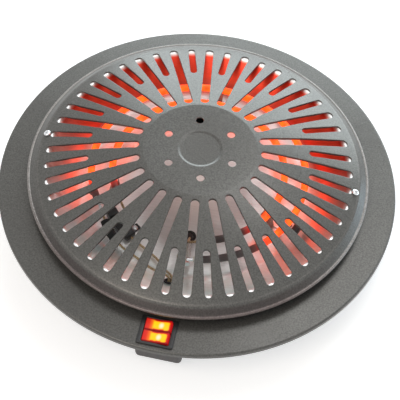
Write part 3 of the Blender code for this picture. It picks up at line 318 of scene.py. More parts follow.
def drill(radius, place, under):
    """A cylinder along a frame's own z axis, from so far under its origin to just over it."""
    return rod(radius, under + OVERRUN, place @ Vector((0, 0, -under)), place.to_3x3() @ UP)


def upright_drill(radius, point, columns=SMALL_COLUMNS):
    """A cylinder that stands through a point of a level sheet."""
    return rod(radius, 2 * OVERRUN, point - OVERRUN * UP, UP, columns)


def block(size, centre):
    """A plain box about a centre."""
    mesh = bpy.data.meshes.new("block")
    with edited(mesh) as bm:
        scaled = Matrix.Translation(centre) @ Matrix.Diagonal((*size, 1.0))
        bmesh.ops.create_cube(bm, size=1.0, matrix=scaled)
    return mesh


# %% [markdown]
# ## Finishes
# A finish is a Principled shader whose colour, roughness and bump vary a little over the surface, as they do
# on a real one. The variation comes from a few shared patterns. Each is a node group, built once, that reads
# the object's own coordinates and gives a mask from 0 to 1 and a height. First come short names for the
# nodes that are used again and again.

# %% Node helpers
def fill(tree, node, inputs):
    """Gives each input of a node a plain value, or links a socket to it."""
    for key, value in inputs.items():
        if isinstance(value, bpy.types.NodeSocket):
            tree.links.new(value, node.inputs[key])
        else:
            node.inputs[key].default_value = value


def add(tree, kind, inputs=None, **options):
    """Adds a node with these options and inputs."""
    made = tree.nodes.new(kind)
    for option, value in options.items():
        setattr(made, option, value)
    fill(tree, made, inputs or {})
    return made


def number(tree, operation, *values):
    """The number that an operation gives, from one or two numbers."""
    return add(tree, "ShaderNodeMath", dict(enumerate(values)), operation=operation).outputs[0]


def vector(tree, operation, *values):
    """The vector that an operation gives, from one or two vectors."""
    return add(tree, "ShaderNodeVectorMath", dict(enumerate(values)), operation=operation).outputs[0]


def length(tree, value):
    """The length of a vector."""
    return add(tree, "ShaderNodeVectorMath", {0: value}, operation="LENGTH").outputs["Value"]


def own_place(tree):
    """The object's own coordinates."""
    return add(tree, "ShaderNodeTexCoord").outputs["Object"]


def part_of(tree, place, axis):
    """One coordinate of a place."""
    return add(tree, "ShaderNodeSeparateXYZ", {0: place}).outputs[axis]


def between(tree, factor, dark, light):
    """A colour between two others, by a factor."""
    colours = {0: factor}
    for key, colour in ((6, dark), (7, light)):
        colours[key] = colour if isinstance(colour, bpy.types.NodeSocket) else (*colour, 1)
    return add(tree, "ShaderNodeMix", colours, data_type="RGBA").outputs[2]


def spread(tree, value, low, high, start=0.0, end=1.0):
    """Carries a value from one range to another."""
    inputs = {"Value": value, "From Min": start, "From Max": end, "To Min": low, "To Max": high}
    return add(tree, "ShaderNodeMapRange", inputs).outputs["Result"]


def ramp(tree, factor, *stops):
    """A colour ramp through stops (place, colour)."""
    made = add(tree, "ShaderNodeValToRGB", {"Fac": factor})
    elements = made.color_ramp.elements
    while len(elements) < len(stops):
        elements.new(1.0)
    for element, (place, colour) in zip(elements, stops):
        element.position = place
        element.color = (*colour, 1)
    return made.outputs["Color"]


def relief(tree, height, distance):
    """The normal of a surface that a height raises by so much."""
    return add(tree, "ShaderNodeBump", {"Height": height, "Distance": distance}).outputs["Normal"]


# %% [markdown]
# Sprayed paint has a fine orange-peel grain. Rolled sheet has long faint lines along the roll. Zinc from a
# hot bath freezes in flat crystals. Moulded rubber and plastic, and fired ceramic, are grainy too, only
# coarser or finer, so they use the paint's pattern at another scale.

# %% Shared patterns
FINER = 2.7


def noise(tree, place, scale, detail):
    """Soft clouds at a scale, with smaller clouds on them for more detail."""
    return add(tree, "ShaderNodeTexNoise", {"Vector": place, "Scale": scale, "Detail": detail}).outputs[0]


def build_grain(tree, place, scale):
    """Two sizes of noise: coarse for the mask, fine added to it for the height."""
    coarse = noise(tree, place, scale, 3.0)
    fine = noise(tree, place, number(tree, "MULTIPLY", scale, FINER), 2.0)
    return spread(tree, coarse, 0.0, 1.0, 0.3, 0.7), number(tree, "ADD", coarse, fine)


def build_rolled(tree, place, scale):
    """Noise stretched forty times along the roll, which is x."""
    long = add(tree, "ShaderNodeMapping", {"Vector": place, "Scale": (0.025, 1.0, 0.3)}).outputs[0]
    lines = noise(tree, long, scale, 4.0)
    return spread(tree, lines, 0.0, 1.0, 0.35, 0.65), lines


def build_spangle(tree, place, scale):
    """Crystals: cells of unlike tone, with a faint step where they meet."""
    cells = add(tree, "ShaderNodeTexVoronoi", {"Vector": place, "Scale": scale})
    edges = add(tree, "ShaderNodeTexVoronoi", {"Vector": place, "Scale": scale}, feature="DISTANCE_TO_EDGE")
    tone = add(tree, "ShaderNodeSeparateColor", {"Color": cells.outputs["Color"]}).outputs[0]
    return tone, spread(tree, edges.outputs["Distance"], 0.0, 1.0, 0.0, 0.08)


def build_patches(tree, place, scale):
    """Slow clouds, as where a hand or a cloth has passed."""
    clouds = noise(tree, place, scale, 1.0)
    return spread(tree, clouds, 0.0, 1.0, 0.35, 0.65), clouds


def build_braid(tree, place, scale):
    """Yarns that cross: the brighter of two slanting sets of bands."""
    bands = []
    for slant in (0.8, -0.8):
        turned_place = add(tree, "ShaderNodeMapping", {"Vector": place, "Rotation": (slant, 0.6, slant)})
        wave = add(tree, "ShaderNodeTexWave", {"Vector": turned_place.outputs[0], "Scale": scale})
        bands.append(wave.outputs["Fac"])
    yarns = number(tree, "MAXIMUM", *bands)
    return yarns, yarns


def pattern(name, build):
    """A node group with a Scale input, and a Mask and a Height output, which build returns."""
    tree = bpy.data.node_groups.new(name, "ShaderNodeTree")
    tree.interface.new_socket("Scale", in_out="INPUT", socket_type="NodeSocketFloat")
    for label in ("Mask", "Height"):
        tree.interface.new_socket(label, in_out="OUTPUT", socket_type="NodeSocketFloat")
    given, leave = tree.nodes.new("NodeGroupInput"), tree.nodes.new("NodeGroupOutput")
    mask, height = build(tree, own_place(tree), given.outputs["Scale"])
    fill(tree, leave, {"Mask": mask, "Height": height})
    return tree


PATTERNS = {name: pattern(name, build) for name, build in (
    ("grain", build_grain), ("rolled", build_rolled), ("spangle", build_spangle),
    ("patches", build_patches), ("braid", build_braid))}
print("patterns:", ", ".join(PATTERNS))


# %% [markdown]
# Every plain finish is built by one function. The pattern mixes two near colours and raises the bump, and
# slow patches change the roughness, because no real sheet shines evenly.

# %% One finish for many pieces
PATCH_SCALE = 18.0


def new_material(name):
    """A material, its node tree and its shader."""
    material = bpy.data.materials.new(name)
    material.use_nodes = True
    return material, material.node_tree, material.node_tree.nodes["Principled BSDF"]


def patterned(tree, kind, scale):
    """The mask and the height of a shared pattern, at a scale of its own."""
    made = add(tree, "ShaderNodeGroup", {"Scale": scale}, node_tree=PATTERNS[kind])
    return made.outputs["Mask"], made.outputs["Height"]


def finish(name, dark, light, rough, metallic=0.0, kind="grain", scale=900.0, bump=0.00003, **constants):
    """Colour runs from dark to light by the pattern, roughness over its range by slow patches.

    Constants are set on the shader's own sockets.
    """
    material, tree, shader = new_material(name)
    mask, height = patterned(tree, kind, scale)
    slow = patterned(tree, "patches", PATCH_SCALE)[0]
    fill(tree, shader, {"Base Color": between(tree, mask, dark, light), "Metallic": metallic,
                        "Roughness": spread(tree, slow, *rough), "Normal": relief(tree, height, bump)})
    fill(tree, shader, {label.replace("_", " "): value for label, value in constants.items()})
    return material


# %% [markdown]
# Some finishes carry painted light that differs from place to place: a painted highlight along an edge, painted
# shade on a skirt, and a painted reflection of the rings' glow on the dish's wall.
# Such a tone is a colour that the finish's own colour is multiplied by. It depends on the distance from the
# axis, and may grow toward the front or the back.

# %% Tone by place
WHITE = (1, 1, 1)
TONE_REACH = 0.2


def toned(material, fade, *stops):
    """Multiplies the colour by a ramp over the distance from the axis, given as stops (distance, colour).

    The ramp comes in along y, from nothing at the fade's first value to its whole strength at the second.
    """
    tree = material.node_tree
    shader = tree.nodes["Principled BSDF"]
    colour = shader.inputs["Base Color"].links[0].from_socket
    place = own_place(tree)
    distance = length(tree, vector(tree, "MULTIPLY", place, (1, 1, 0)))
    shares = [(radius / TONE_REACH, shade) for radius, shade in stops]
    tone = ramp(tree, spread(tree, distance, 0, 1, 0, TONE_REACH), *shares)
    faded = between(tree, spread(tree, part_of(tree, place, "Y"), 0, 1, *fade), WHITE, tone)
    mixed = add(tree, "ShaderNodeMix", {0: 1.0, 6: colour, 7: faded}, data_type="RGBA", blend_type="MULTIPLY")
    fill(tree, shader, {"Base Color": mixed.outputs[2]})


# %% [markdown]
# The rim and the guard are sprayed with a dark grey paint that holds a little metal powder, and the box with a
# matt one, whose darker colours are painted shade. The guard's paint is a material of its own, because light is
# painted into it: a painted highlight along the bend above the skirt, a painted highlight along the wired edge,
# and painted shade low on the front of the skirt. The first tone comes in at the front only. The second is
# whole everywhere, since its fade lies in front of the object.

# %% Painted finishes
PAINT = {"dark": (0.074, 0.072, 0.067), "light": (0.132, 0.129, 0.120), "rough": (0.27, 0.33),
         "metallic": 0.40, "scale": 700.0, "bump": 0.00004}
# Tones of painted light for the guard: highlights on the bend and the wired edge, shade on the front of the
# skirt.
PAINTED_BEND_HIGHLIGHT, PAINTED_BEAD_HIGHLIGHT, PAINTED_SKIRT_SHADE = (1.35, 1.32, 1.32), (2.6, 2.5, 2.55), (0.58, 0.50, 0.50)
EVERYWHERE = (-1.0, -0.9)
GRAPHITE = finish("graphite_paint", **PAINT)
GUARD_PAINT = finish("graphite_guard", **PAINT)
# Painted shade low on the front of the skirt.
toned(GUARD_PAINT, (-0.060, -0.125), (LAND_OUTER + 0.0010, WHITE), (LAND_OUTER + 0.0025, PAINTED_SKIRT_SHADE))
# Painted highlights along the bend above the skirt and along the wired edge.
toned(GUARD_PAINT, EVERYWHERE, (LAND_OUTER - 0.0020, WHITE), (LAND_OUTER - 0.0008, PAINTED_BEND_HIGHLIGHT),
      (LAND_OUTER + 0.0002, WHITE), (GUARD_RADIUS - 0.0030, WHITE), (GUARD_RADIUS - 0.0023, PAINTED_BEAD_HIGHLIGHT))
# The matt finish is the box's own; its colours, darker than the rim's paint, are painted shade.
MATT_PAINT_SHADED = finish("graphite_matt_shaded", (0.052, 0.047, 0.047), (0.078, 0.071, 0.070), (0.50, 0.60),
                    metallic=0.10, scale=700.0, bump=0.00004)

# %% [markdown]
# The other metals are bare. A metal's colour is the colour of its reflection, so only the browned steel of
# the clips is dark. Aluminium and brass show the roll, the zinc on the pan shows its crystals, and the plated
# screws are the smoothest.

# %% Bare metals
POLISHED = finish("polished_aluminium", (0.86, 0.85, 0.84), (0.94, 0.93, 0.92), (0.33, 0.40), metallic=0.75,
                  kind="rolled", scale=900.0, bump=0.0000008)
GALVANISED = finish("galvanised_steel", (0.40, 0.42, 0.43), (0.58, 0.60, 0.61), (0.38, 0.50), metallic=0.9,
                    kind="spangle", scale=110.0, bump=0.00002)
ZINC = finish("zinc_plate", (0.62, 0.63, 0.64), (0.78, 0.79, 0.80), (0.22, 0.32), metallic=1.0, scale=1500.0)
BROWNED = finish("browned_steel", (0.24, 0.21, 0.19), (0.42, 0.38, 0.35), (0.32, 0.44), metallic=0.9)
BRASS = finish("brass_strip", (0.60, 0.44, 0.18), (0.75, 0.58, 0.28), (0.25, 0.36), metallic=1.0,
               kind="rolled", scale=2500.0, bump=0.00001)

# %% [markdown]
# The rest don't conduct: ceramic, rubber, plastic and braided sleeves. They range from plastic out of a
# polished mould, which mirrors a little, to rubber that hardly shines.

# %% Moulded, fired and woven finishes
CERAMIC = finish("fired_ceramic", (0.66, 0.62, 0.55), (0.80, 0.77, 0.70), (0.50, 0.65), scale=1400.0)
RUBBER = finish("moulded_rubber", (0.012, 0.012, 0.012), (0.030, 0.030, 0.030), (0.70, 0.85), scale=1100.0)
BLACK = finish("moulded_plastic", (0.010, 0.010, 0.011), (0.020, 0.020, 0.021), (0.30, 0.40), scale=2200.0,
               bump=0.00002)
GLASS_BRAID = finish("glass_braid", (0.55, 0.54, 0.52), (0.86, 0.85, 0.83), (0.50, 0.65), kind="braid",
                     scale=420.0, bump=0.0001)
SLEEVE = finish("varnished_braid", (0.22, 0.12, 0.045), (0.62, 0.47, 0.28), (0.45, 0.60), kind="braid",
                scale=260.0, bump=0.0002)
print("finishes:", len(bpy.data.materials))

# %% [markdown]
# ## The guard
# The guard is one pressed dome, slotted by a punch. Cutting 48 slots with Booleans would leave long thin
# faces across a curved surface, which shade badly. Here the dome is made of cells instead. Each cell holds
# one slot, and its grid runs from the slot's outline to the cell's own edge, so that every face follows the
# form. The grid also rolls over the slot's edge and down its wall, as a punched edge does.

# %% The dome's height
def dome_height(radius):
    """A straight fall from the disc to the land, raised by a crown of four times share times rest."""
    share = (radius - DISC_RADIUS) / (LAND_OUTER - DISC_RADIUS)
    return DISC_Z - SHOULDER_FALL * share + 4 * DOME_CROWN * share * (1 - share)


def land_point(share, depth=0.0):
    """A point (r, z) across the land, from its inner to its outer edge, so deep under the guard's face."""
    inner = np.array((LAND_INNER, dome_height(LAND_INNER)))
    outer = np.array((LAND_OUTER, dome_height(LAND_OUTER)))
    along = (outer - inner) / np.linalg.norm(outer - inner)
    return inner + (outer - inner) * share + np.array((along[1], -along[0])) * depth


# %% [markdown]
# Long and short slots take turns round the dome, 24 of each. Between the long ones, nearer to the disc, the
# sheet is plain. A burr hangs from each slot's wall, because a punch drags the sheet down with it.

# %% Slots and cells
SLOT_PAIRS = 24
GUARD_COLUMNS = 480
LONG_SLOT_WIDTH, SHORT_SLOT_WIDTH = 0.0078, 0.0065
LONG_SLOT_INNER = DISC_RADIUS + 0.0037
SLOT_OUTER = LAND_INNER + 0.0005
SHORT_SLOT_INNER = SLOT_OUTER - 0.0421
CELL_INNER = LONG_SLOT_INNER - 0.0009
CELL_MIDDLE = SHORT_SLOT_INNER - 0.0044
CELL_OUTER = SLOT_OUTER + 0.0011
CELL_STEPS = 10
EDGE_ROLL = 0.00035
CELL_ROWS, ROLL_ROWS, ROW_CROWDING = 6, 4, 1.3
PITCH = math.tau / SLOT_PAIRS
LONG_HALF, SHORT_HALF = math.radians(4.5), math.radians(3.0)
BURR_DEPTH, BURR_WIDTH = 0.0013, 0.0007
BURR_END, BURR_FADE = LAND_INNER - 0.0060, 0.0080
print("slots: %d, from %.4f to %.4f" % (2 * SLOT_PAIRS, LONG_SLOT_INNER, SLOT_OUTER))


def burr_height(radius):
    """How far the slot's wall hangs below the sheet: even inward, and nothing where the reflector is near."""
    return BURR_DEPTH * np.clip((BURR_END - radius) / BURR_FADE, 0, 1)


def edge_profile():
    """Rows from the cell's edge over the slot's rolled edge, down its wall and back underneath.

    Each row is (share of the way to the cell's edge, distance from the outline, depth under the face, share
    of the burr). The rows crowd toward the slot, and the roll is a quarter circle.
    """
    shares = np.linspace(1, 0, CELL_ROWS) ** ROW_CROWDING
    turns = np.linspace(0, math.pi / 2, ROLL_ROWS)
    none, flat = 0 * shares, 0 * turns
    top = np.stack((shares, none + EDGE_ROLL, none, none), axis=1)[:-1]
    over = np.stack((flat, EDGE_ROLL * (1 - np.sin(turns)), EDGE_ROLL * (1 - np.cos(turns)), flat), axis=1)
    burr = [(0, 0, STEEL, 1), (0, BURR_WIDTH, STEEL, 1)]
    under = np.stack((shares, none + BURR_WIDTH, none + STEEL, none), axis=1)[::-1]
    return np.vstack((top, over, burr, under))


# %% [markdown]
# A cell is worked out about its own middle line, in radius and angle, and then swung to its place. A long
# slot's cell is wide, a short slot's is narrow, and a narrow patch without a slot fills the rest.

# %% One cell
def slot_cell(inner, outer, width, edge_radii, half_angle):
    """A grid round one slot about angle 0: rows follow edge_profile, columns go round the slot.

    Both the outline and the cell's edge have the same points: an end, a side, the other end, the other side.
    The cell's sides have a point at each edge radius, which neighbouring cells share. A point of the grid is
    outline times rest plus edge times share, in r and in angle.
    """
    side_steps = len(edge_radii) - 1
    radius, arc_steps = width / 2, round(2 * half_angle / (math.tau / GUARD_COLUMNS))
    turns = np.linspace(-math.pi / 2, math.pi / 2, arc_steps + 1)[:-1]
    runs = np.linspace(0, 1, side_steps + 1)[:-1]
    low, high = inner + radius, outer - radius
    x_out, y_out = np.cos(turns), np.sin(turns)
    outline = np.vstack((pairs(high + radius * x_out, radius * y_out),
                         pairs(high + (low - high) * runs, 0 * runs + radius),
                         pairs(low - radius * x_out, -radius * y_out),
                         pairs(low + (high - low) * runs, 0 * runs - radius)))
    away = np.vstack((pairs(x_out, y_out), pairs(0 * runs, 0 * runs + 1),
                      pairs(-x_out, -y_out), pairs(0 * runs, 0 * runs - 1)))
    swing = turns / math.pi * 2 * half_angle
    edge = np.vstack((pairs(0 * swing + edge_radii[-1], swing),
                      pairs(edge_radii[:0:-1], 0 * runs + half_angle),
                      pairs(0 * swing + edge_radii[0], -swing),
                      pairs(edge_radii[:-1], 0 * runs - half_angle)))
    share, distance, depth, burr = (column[:, None] for column in edge_profile().T)
    x = outline[:, 0] + away[:, 0] * distance
    y = outline[:, 1] + away[:, 1] * distance
    r = np.hypot(x, y) * (1 - share) + edge[:, 0] * share
    angle = np.arctan2(y, x) * (1 - share) + edge[:, 1] * share
    return np.stack((r, angle, dome_height(r) - depth - burr * burr_height(r)), axis=-1)


def plain_cell(radii, half_angle, depth):
    """A patch without a slot: these radii by even angles, at one depth under the face."""
    count = round(2 * half_angle / (math.tau / GUARD_COLUMNS))
    r, angle = np.meshgrid(radii, np.linspace(-half_angle, half_angle, count + 1), indexing="ij")
    return np.stack((r, angle, dome_height(r) - depth), axis=-1)


def swung(cell, angle):
    """A cell in (r, angle, z), turned to its place and written in x, y, z."""
    a = cell[..., 1] + angle
    return np.stack((cell[..., 0] * np.cos(a), cell[..., 0] * np.sin(a), cell[..., 2]), axis=-1)


# %% [markdown]
# Inside the slots the guard is a flat disc with a shallow recess. Outside them its land is clamped on the
# rim, then a skirt turns down, and its edge is curled round a wire so that nobody is cut by it. Both parts
# are turned sections that end on the cells' own edges.

# %% The guard's disc and wired edge
BEAD_RADIUS = 0.0016
BEAD_POINTS = 25
BEAD = np.array((GUARD_RADIUS - BEAD_RADIUS, FLANGE_Z + 0.0118))
RECESS_RADIUS, RECESS_DEPTH, RECESS_SLOPE, RECESS_BEND = 0.0208, 0.0008, 0.0022, 0.0020
DISC_BEND, SHOULDER_BEND = 0.006, 0.004


def disc_sections():
    """The face from the axis to the first cell, and the underside, which the cells join at their edges."""
    recess_z = DISC_Z - RECESS_DEPTH
    face = bent((0, recess_z), (RECESS_RADIUS - RECESS_SLOPE, recess_z, RECESS_BEND),
                (RECESS_RADIUS, DISC_Z, RECESS_BEND), (DISC_RADIUS, DISC_Z, DISC_BEND),
                (CELL_INNER, dome_height(CELL_INNER)))
    back = aside(face, STEEL)
    back[-1] = face[-1] - (0, STEEL)
    back[0, 0] = 0
    return face, back


def edge_section():
    """The face from the last cell over the shoulder and down the skirt, round the wired edge, and back."""
    skirt = BEAD + aside(np.array((land_point(1), BEAD)), -STEEL / 2)[0] - land_point(1)
    middle = bent((CELL_OUTER, dome_height(CELL_OUTER)), (*land_point(1), SHOULDER_BEND), tuple(skirt))
    middle = aside(middle, STEEL / 2)
    middle[-1] = BEAD
    upper, lower = aside(middle, -STEEL / 2), aside(middle, STEEL / 2)
    upper[0] = (CELL_OUTER, dome_height(CELL_OUTER))
    lower[0] = upper[0] - (0, STEEL)
    start = math.atan2(*(middle[-2] - BEAD)[::-1])
    half = math.asin(STEEL / 2 / BEAD_RADIUS)
    turns = np.linspace(start - half, start + half - math.tau, BEAD_POINTS)
    curl = BEAD + BEAD_RADIUS * pairs(np.cos(turns), np.sin(turns))
    return np.vstack((upper[:-1], curl, lower[-2::-1]))


def guard_grids():
    """All grids of the guard: the turned parts, and the cells repeated for each pair of slots."""
    inner_radii = np.linspace(CELL_INNER, CELL_MIDDLE, CELL_STEPS + 1)
    outer_radii = np.linspace(CELL_MIDDLE, CELL_OUTER, CELL_STEPS + 1)
    long_radii = np.concatenate((inner_radii[:-1], outer_radii))
    long_cell = slot_cell(LONG_SLOT_INNER, SLOT_OUTER, LONG_SLOT_WIDTH, long_radii, LONG_HALF)
    short_cell = slot_cell(SHORT_SLOT_INNER, SLOT_OUTER, SHORT_SLOT_WIDTH, outer_radii, SHORT_HALF)
    web = [plain_cell(inner_radii, SHORT_HALF, depth) for depth in (0, STEEL)]
    grids = [(turned(section, evenly(GUARD_COLUMNS)), False, True)
             for section in (*disc_sections(), edge_section())]
    for k in range(SLOT_PAIRS):
        grids.append((swung(long_cell, (k + 0.5) * PITCH), False, True))
        grids.append((swung(short_cell, k * PITCH), False, True))
        grids.extend((swung(patch, k * PITCH), False, False) for patch in web)
    return grids


# %% [markdown]
# The six round holes in the disc and the two screw holes in the land are drilled afterwards. The disc is
# flat there, so a Boolean does no harm. The screws also pass the dish, the rim and the pan, which all lie
# under the land, so the same drills serve all four.

# %% Build the guard
SCREW_SHARE = 0.45
SCREW_HOLE, SCREW_REACH = 0.0020, 0.0080
DISC_HOLES, DISC_HOLE, DISC_HOLE_CIRCLE, DISC_HOLE_COLUMNS = 6, 0.0038, 0.0337, 40
DISC_HOLE_TURN = math.radians(90 + 12.2)


def land_frame(side):
    """A frame whose z axis is the land's outward normal, at the guard screw of one side."""
    (r, z), (above_r, above_z) = land_point(SCREW_SHARE), land_point(SCREW_SHARE, -GAP)
    return around(side) @ axis_frame(Vector((r, 0, z)), Vector((above_r - r, 0, above_z - z)))


def land_drills():
    """Drills for the two guard screws, through all four lips."""
    return [drill(SCREW_HOLE, land_frame(side), SCREW_REACH) for side in (0, math.pi)]


disc_angles = [DISC_HOLE_TURN + math.tau * k / DISC_HOLES for k in range(DISC_HOLES)]
disc_drills = [upright_drill(DISC_HOLE, polar(DISC_HOLE_CIRCLE, angle, DISC_Z), DISC_HOLE_COLUMNS)
               for angle in disc_angles]
piece("guard_dome", combined(welded(guard_grids()), disc_drills + land_drills()), GUARD_PAINT, "guard")

# %% [markdown]
# ## The rim plate
# The rim plate is one turned line: a sloped ledge that the guard sits on, a collar, the flat flange and a
# lip turned down at its edge. Its sheet is the same steel as the guard's. The switch's opening is punched.

# %% Build the rim plate
SWITCH_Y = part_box("rocker_pin")[0].y / 2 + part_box("rocker_pin")[1].y / 2
BODY = Vector((0.0266, 0.0251))
LEDGE_DEPTH = STEEL + GAP + ALUMINIUM + GAP
LEDGE_START, RIM_BEND = 0.12, 0.0020
rim_face = bent((*land_point(LEDGE_START, LEDGE_DEPTH), 0), (*land_point(1.0, LEDGE_DEPTH), RIM_BEND),
                (COLLAR_RADIUS, FLANGE_Z, RIM_BEND), (RIM_RADIUS, FLANGE_Z, RIM_BEND),
                (RIM_RADIUS, FLANGE_Z - RIM_LIP))
switch_hole = block((BODY.x + 2 * GAP, BODY.y + 2 * GAP, 3 * OVERRUN), Vector((0, SWITCH_Y, FLANGE_Z)))
rim = combined(lathe(sheet(rim_face, STEEL), COLUMNS), land_drills() + [switch_hole])
piece("rim_flange", rim, GRAPHITE, "rim_plate")

# %% [markdown]
# ## The base pan
# The pan is deep drawn from galvanised sheet. Its floor is raised in the middle, so that the feet stand in a
# lower ring and the floor stays stiff. The same line gives both faces.

# %% The pan's line
PAN_COLUMNS = 32
FOOT_HEIGHT = 0.0100
PAN_FLOOR_Z = FOOT_HEIGHT + STEEL
PAN_LIP_DEPTH = LEDGE_DEPTH + STEEL + GAP
PAN_LIP_END = 0.8
PAN_TOP = land_point(1, PAN_LIP_DEPTH)[0] - 0.0089
PAN_BOTTOM = PAN_TOP - 0.0060
FOOT_CIRCLE = PAN_BOTTOM - 0.0230
FOOT_ANGLES = [math.radians(45 + 90 * k) for k in range(4)]
PAN_LIP_BEND, PAN_FLOOR_BEND = 0.0020, 0.0080
STEP_RADIUS, STEP_WIDTH, STEP_RISE, STEP_BEND = FOOT_CIRCLE - 0.0170, 0.0040, 0.0030, 0.0025


def pan_line():
    """The pan's inside face from its lip to its centre."""
    lip = land_point(PAN_LIP_END, PAN_LIP_DEPTH)
    slope = land_point(1) - land_point(0)
    corner = lip + slope * (PAN_TOP - lip[0]) / slope[0]
    return bent((*lip, 0), (*corner, PAN_LIP_BEND), (PAN_BOTTOM, PAN_FLOOR_Z, PAN_FLOOR_BEND),
                (STEP_RADIUS, PAN_FLOOR_Z, STEP_BEND),
                (STEP_RADIUS - STEP_WIDTH, PAN_FLOOR_Z + STEP_RISE, STEP_BEND), (0, PAN_FLOOR_Z + STEP_RISE))


# %% [markdown]
# The leads leave the pan through a grommet in its front wall, toward the switch. The grommet's frame lies on
# the wall, which slopes, so its drill goes square through the sheet. The feet's screws come up from below.

# %% Build the base pan
WIRE_HOLE, FOOT_HOLE = 0.0057, 0.0020


def wall_frame(top, bottom, z, columns, out):
    """A frame on a straight wall at the front, at a height, its z axis along the wall's normal.

    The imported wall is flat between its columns, so the frame lies on the middle of one of its flats.
    """
    top, bottom = np.array(top), np.array(bottom)
    along = (bottom - top) / np.linalg.norm(bottom - top)
    point = top + (bottom - top) * (top[1] - z) / (top[1] - bottom[1])
    flat = Vector((point[0] * math.cos(math.pi / columns), 0, point[1]))
    on_wall = around(-math.pi / 2) @ axis_frame(flat, Vector((-along[1], 0, along[0])))
    return on_wall @ moved(0, 0, out)


PAN_GROMMET = wall_frame((PAN_TOP, land_point(0, PAN_LIP_DEPTH)[1]), (PAN_BOTTOM, PAN_FLOOR_Z),
                         FLANGE_Z - 0.0140, PAN_COLUMNS, STEEL)
pan_drills = land_drills()
pan_drills += [rod(FOOT_HOLE, 3 * OVERRUN, polar(FOOT_CIRCLE, angle, FOOT_HEIGHT - OVERRUN), UP)
               for angle in FOOT_ANGLES]
pan_drills.append(drill(WIRE_HOLE, PAN_GROMMET, 2 * OVERRUN))
piece("pan_shell", combined(lathe(sheet(pan_line(), -STEEL), COLUMNS), pan_drills), GALVANISED, "base_pan")

# %% [markdown]
# ## The reflector
# The reflector throws the rings' heat upward. It is a shallow dish spun from polished aluminium: a flat
# floor, a wide bend, a sloping wall and a lip that is clamped under the guard's land. Rivets, wires and a
# small vent pass its floor, so all their places are worked out first.

# %% Places on the reflector
FLOOR_Z = FLANGE_Z - 0.0080
OUTER_RING = LAND_INNER - 0.0434
INNER_RING = OUTER_RING - 0.0199
MIDDLE_RING = (OUTER_RING + INNER_RING) / 2
FLOOR_RADIUS = OUTER_RING + 0.0074
CLIP_ANGLES = [math.radians(angle) for angle in (-27, 90, 207)]
CUTOUT_ANGLE = math.radians(-128)
CUTOUT = around(CUTOUT_ANGLE) @ moved(MIDDLE_RING, 0, FLOOR_Z + GAP)
CUTOUT_RIVET = CUTOUT @ Vector((-0.0095, 0.0060, 0.0008))
FLOOR_GROMMET = Matrix.Translation(polar(INNER_RING - 0.0162, math.radians(-85), FLOOR_Z))
VENT = polar(INNER_RING - 0.0057, math.radians(100), FLOOR_Z)
DISH_LIP_START, DISH_LIP_END = -0.1, 0.92
DISH_CORNER = land_point(DISH_LIP_START, STEEL + GAP)
WALL_GROMMET_RISE = 0.42
WALL_Z = FLOOR_Z + (DISH_CORNER[1] - FLOOR_Z) * WALL_GROMMET_RISE
WALL_GROMMET = wall_frame((FLOOR_RADIUS, FLOOR_Z), DISH_CORNER, WALL_Z, PACKED_COLUMNS, 0)
print("rings at %.4f and %.4f, reflector floor at %.4f" % (OUTER_RING, INNER_RING, FLOOR_Z))

# %% [markdown]
# The dish is one line from its lip to its centre, thinner than the steel round it. All its holes are drilled
# in one go, after it is spun.

# %% Build the reflector
DISH_LIP_BEND, DISH_FLOOR_BEND = 0.0030, 0.0120
RIVET_HOLE, VENT_HOLE, FLOOR_WIRE_HOLE, WALL_WIRE_HOLE = 0.0017, 0.0050, 0.0051, 0.0049
dish_face = bent((*land_point(DISH_LIP_END, STEEL + GAP), 0), (*DISH_CORNER, DISH_LIP_BEND),
                 (FLOOR_RADIUS, FLOOR_Z, DISH_FLOOR_BEND), (0, FLOOR_Z))
dish_drills = land_drills()
dish_drills += [upright_drill(RIVET_HOLE, polar(MIDDLE_RING, angle, FLOOR_Z)) for angle in CLIP_ANGLES]
dish_drills += [upright_drill(RIVET_HOLE, CUTOUT_RIVET), upright_drill(VENT_HOLE, VENT),
                drill(FLOOR_WIRE_HOLE, FLOOR_GROMMET, OVERRUN),
                drill(WALL_WIRE_HOLE, WALL_GROMMET, 2 * OVERRUN)]
piece("reflector_dish", combined(lathe(sheet(dish_face, -ALUMINIUM), COLUMNS), dish_drills), POLISHED,
      "reflector")

# %% [markdown]
# The rings' glow is thrown to and fro between the dish and the guard until the dish's wall looks red. A
# renderer could trace every bounce, but slowly and with much noise, so that red is painted into the polish
# instead, as a painted reflection. It is reddest on the back wall, along the hottest stretch, and less so at
# the sides. At the foot of the back wall a dark band is a painted reflection of the guard's dark underside, and
# the front wall, beyond the rings' cold ends, gets a painted cool reflection. The lip stays bare metal.

# %% The wall's painted reflection
WALL_FOOT, WALL_LOW, WALL_HIGH, LIP_START = 0.1150, 0.1250, 0.1400, 0.1425
PAINTED_COOL_REFLECTION = (0.84, 1.0, 0.99)
# A painted reflection of the rings' glow, reddest toward the back.
toned(POLISHED, (-0.075, -0.030), (0.1140, WHITE), (0.1180, (1.0, 0.60, 0.50)),
      (WALL_LOW, (0.90, 0.40, 0.34)), (WALL_HIGH, (0.85, 0.40, 0.34)), (LIP_START, WHITE))
# A painted cool reflection on the front wall, which takes red out of it.
toned(POLISHED, (-0.070, -0.105), (0.1000, WHITE), (WALL_FOOT, PAINTED_COOL_REFLECTION), (WALL_HIGH, PAINTED_COOL_REFLECTION), (LIP_START, WHITE))
# A painted reflection on the back wall: dark at its foot, from the guard's underside, and red above it, from
# the glow.
toned(POLISHED, (-0.015, 0.035), (0.1060, WHITE), (WALL_FOOT, (0.42, 0.15, 0.14)),
      (WALL_LOW, (1.10, 0.20, 0.10)), (WALL_HIGH, (1.15, 0.16, 0.09)), (LIP_START, WHITE))

# %% [markdown]
# ## The heating rings
# Each ring is a steel tube with a coiled wire inside. The wire stops short of the ends, so the ends stay
# dark while the rest glows. The heat is stored on the mesh as a number from 0 to 1, worked out from the
# angle, and the material turns that number into the colours of hot metal.

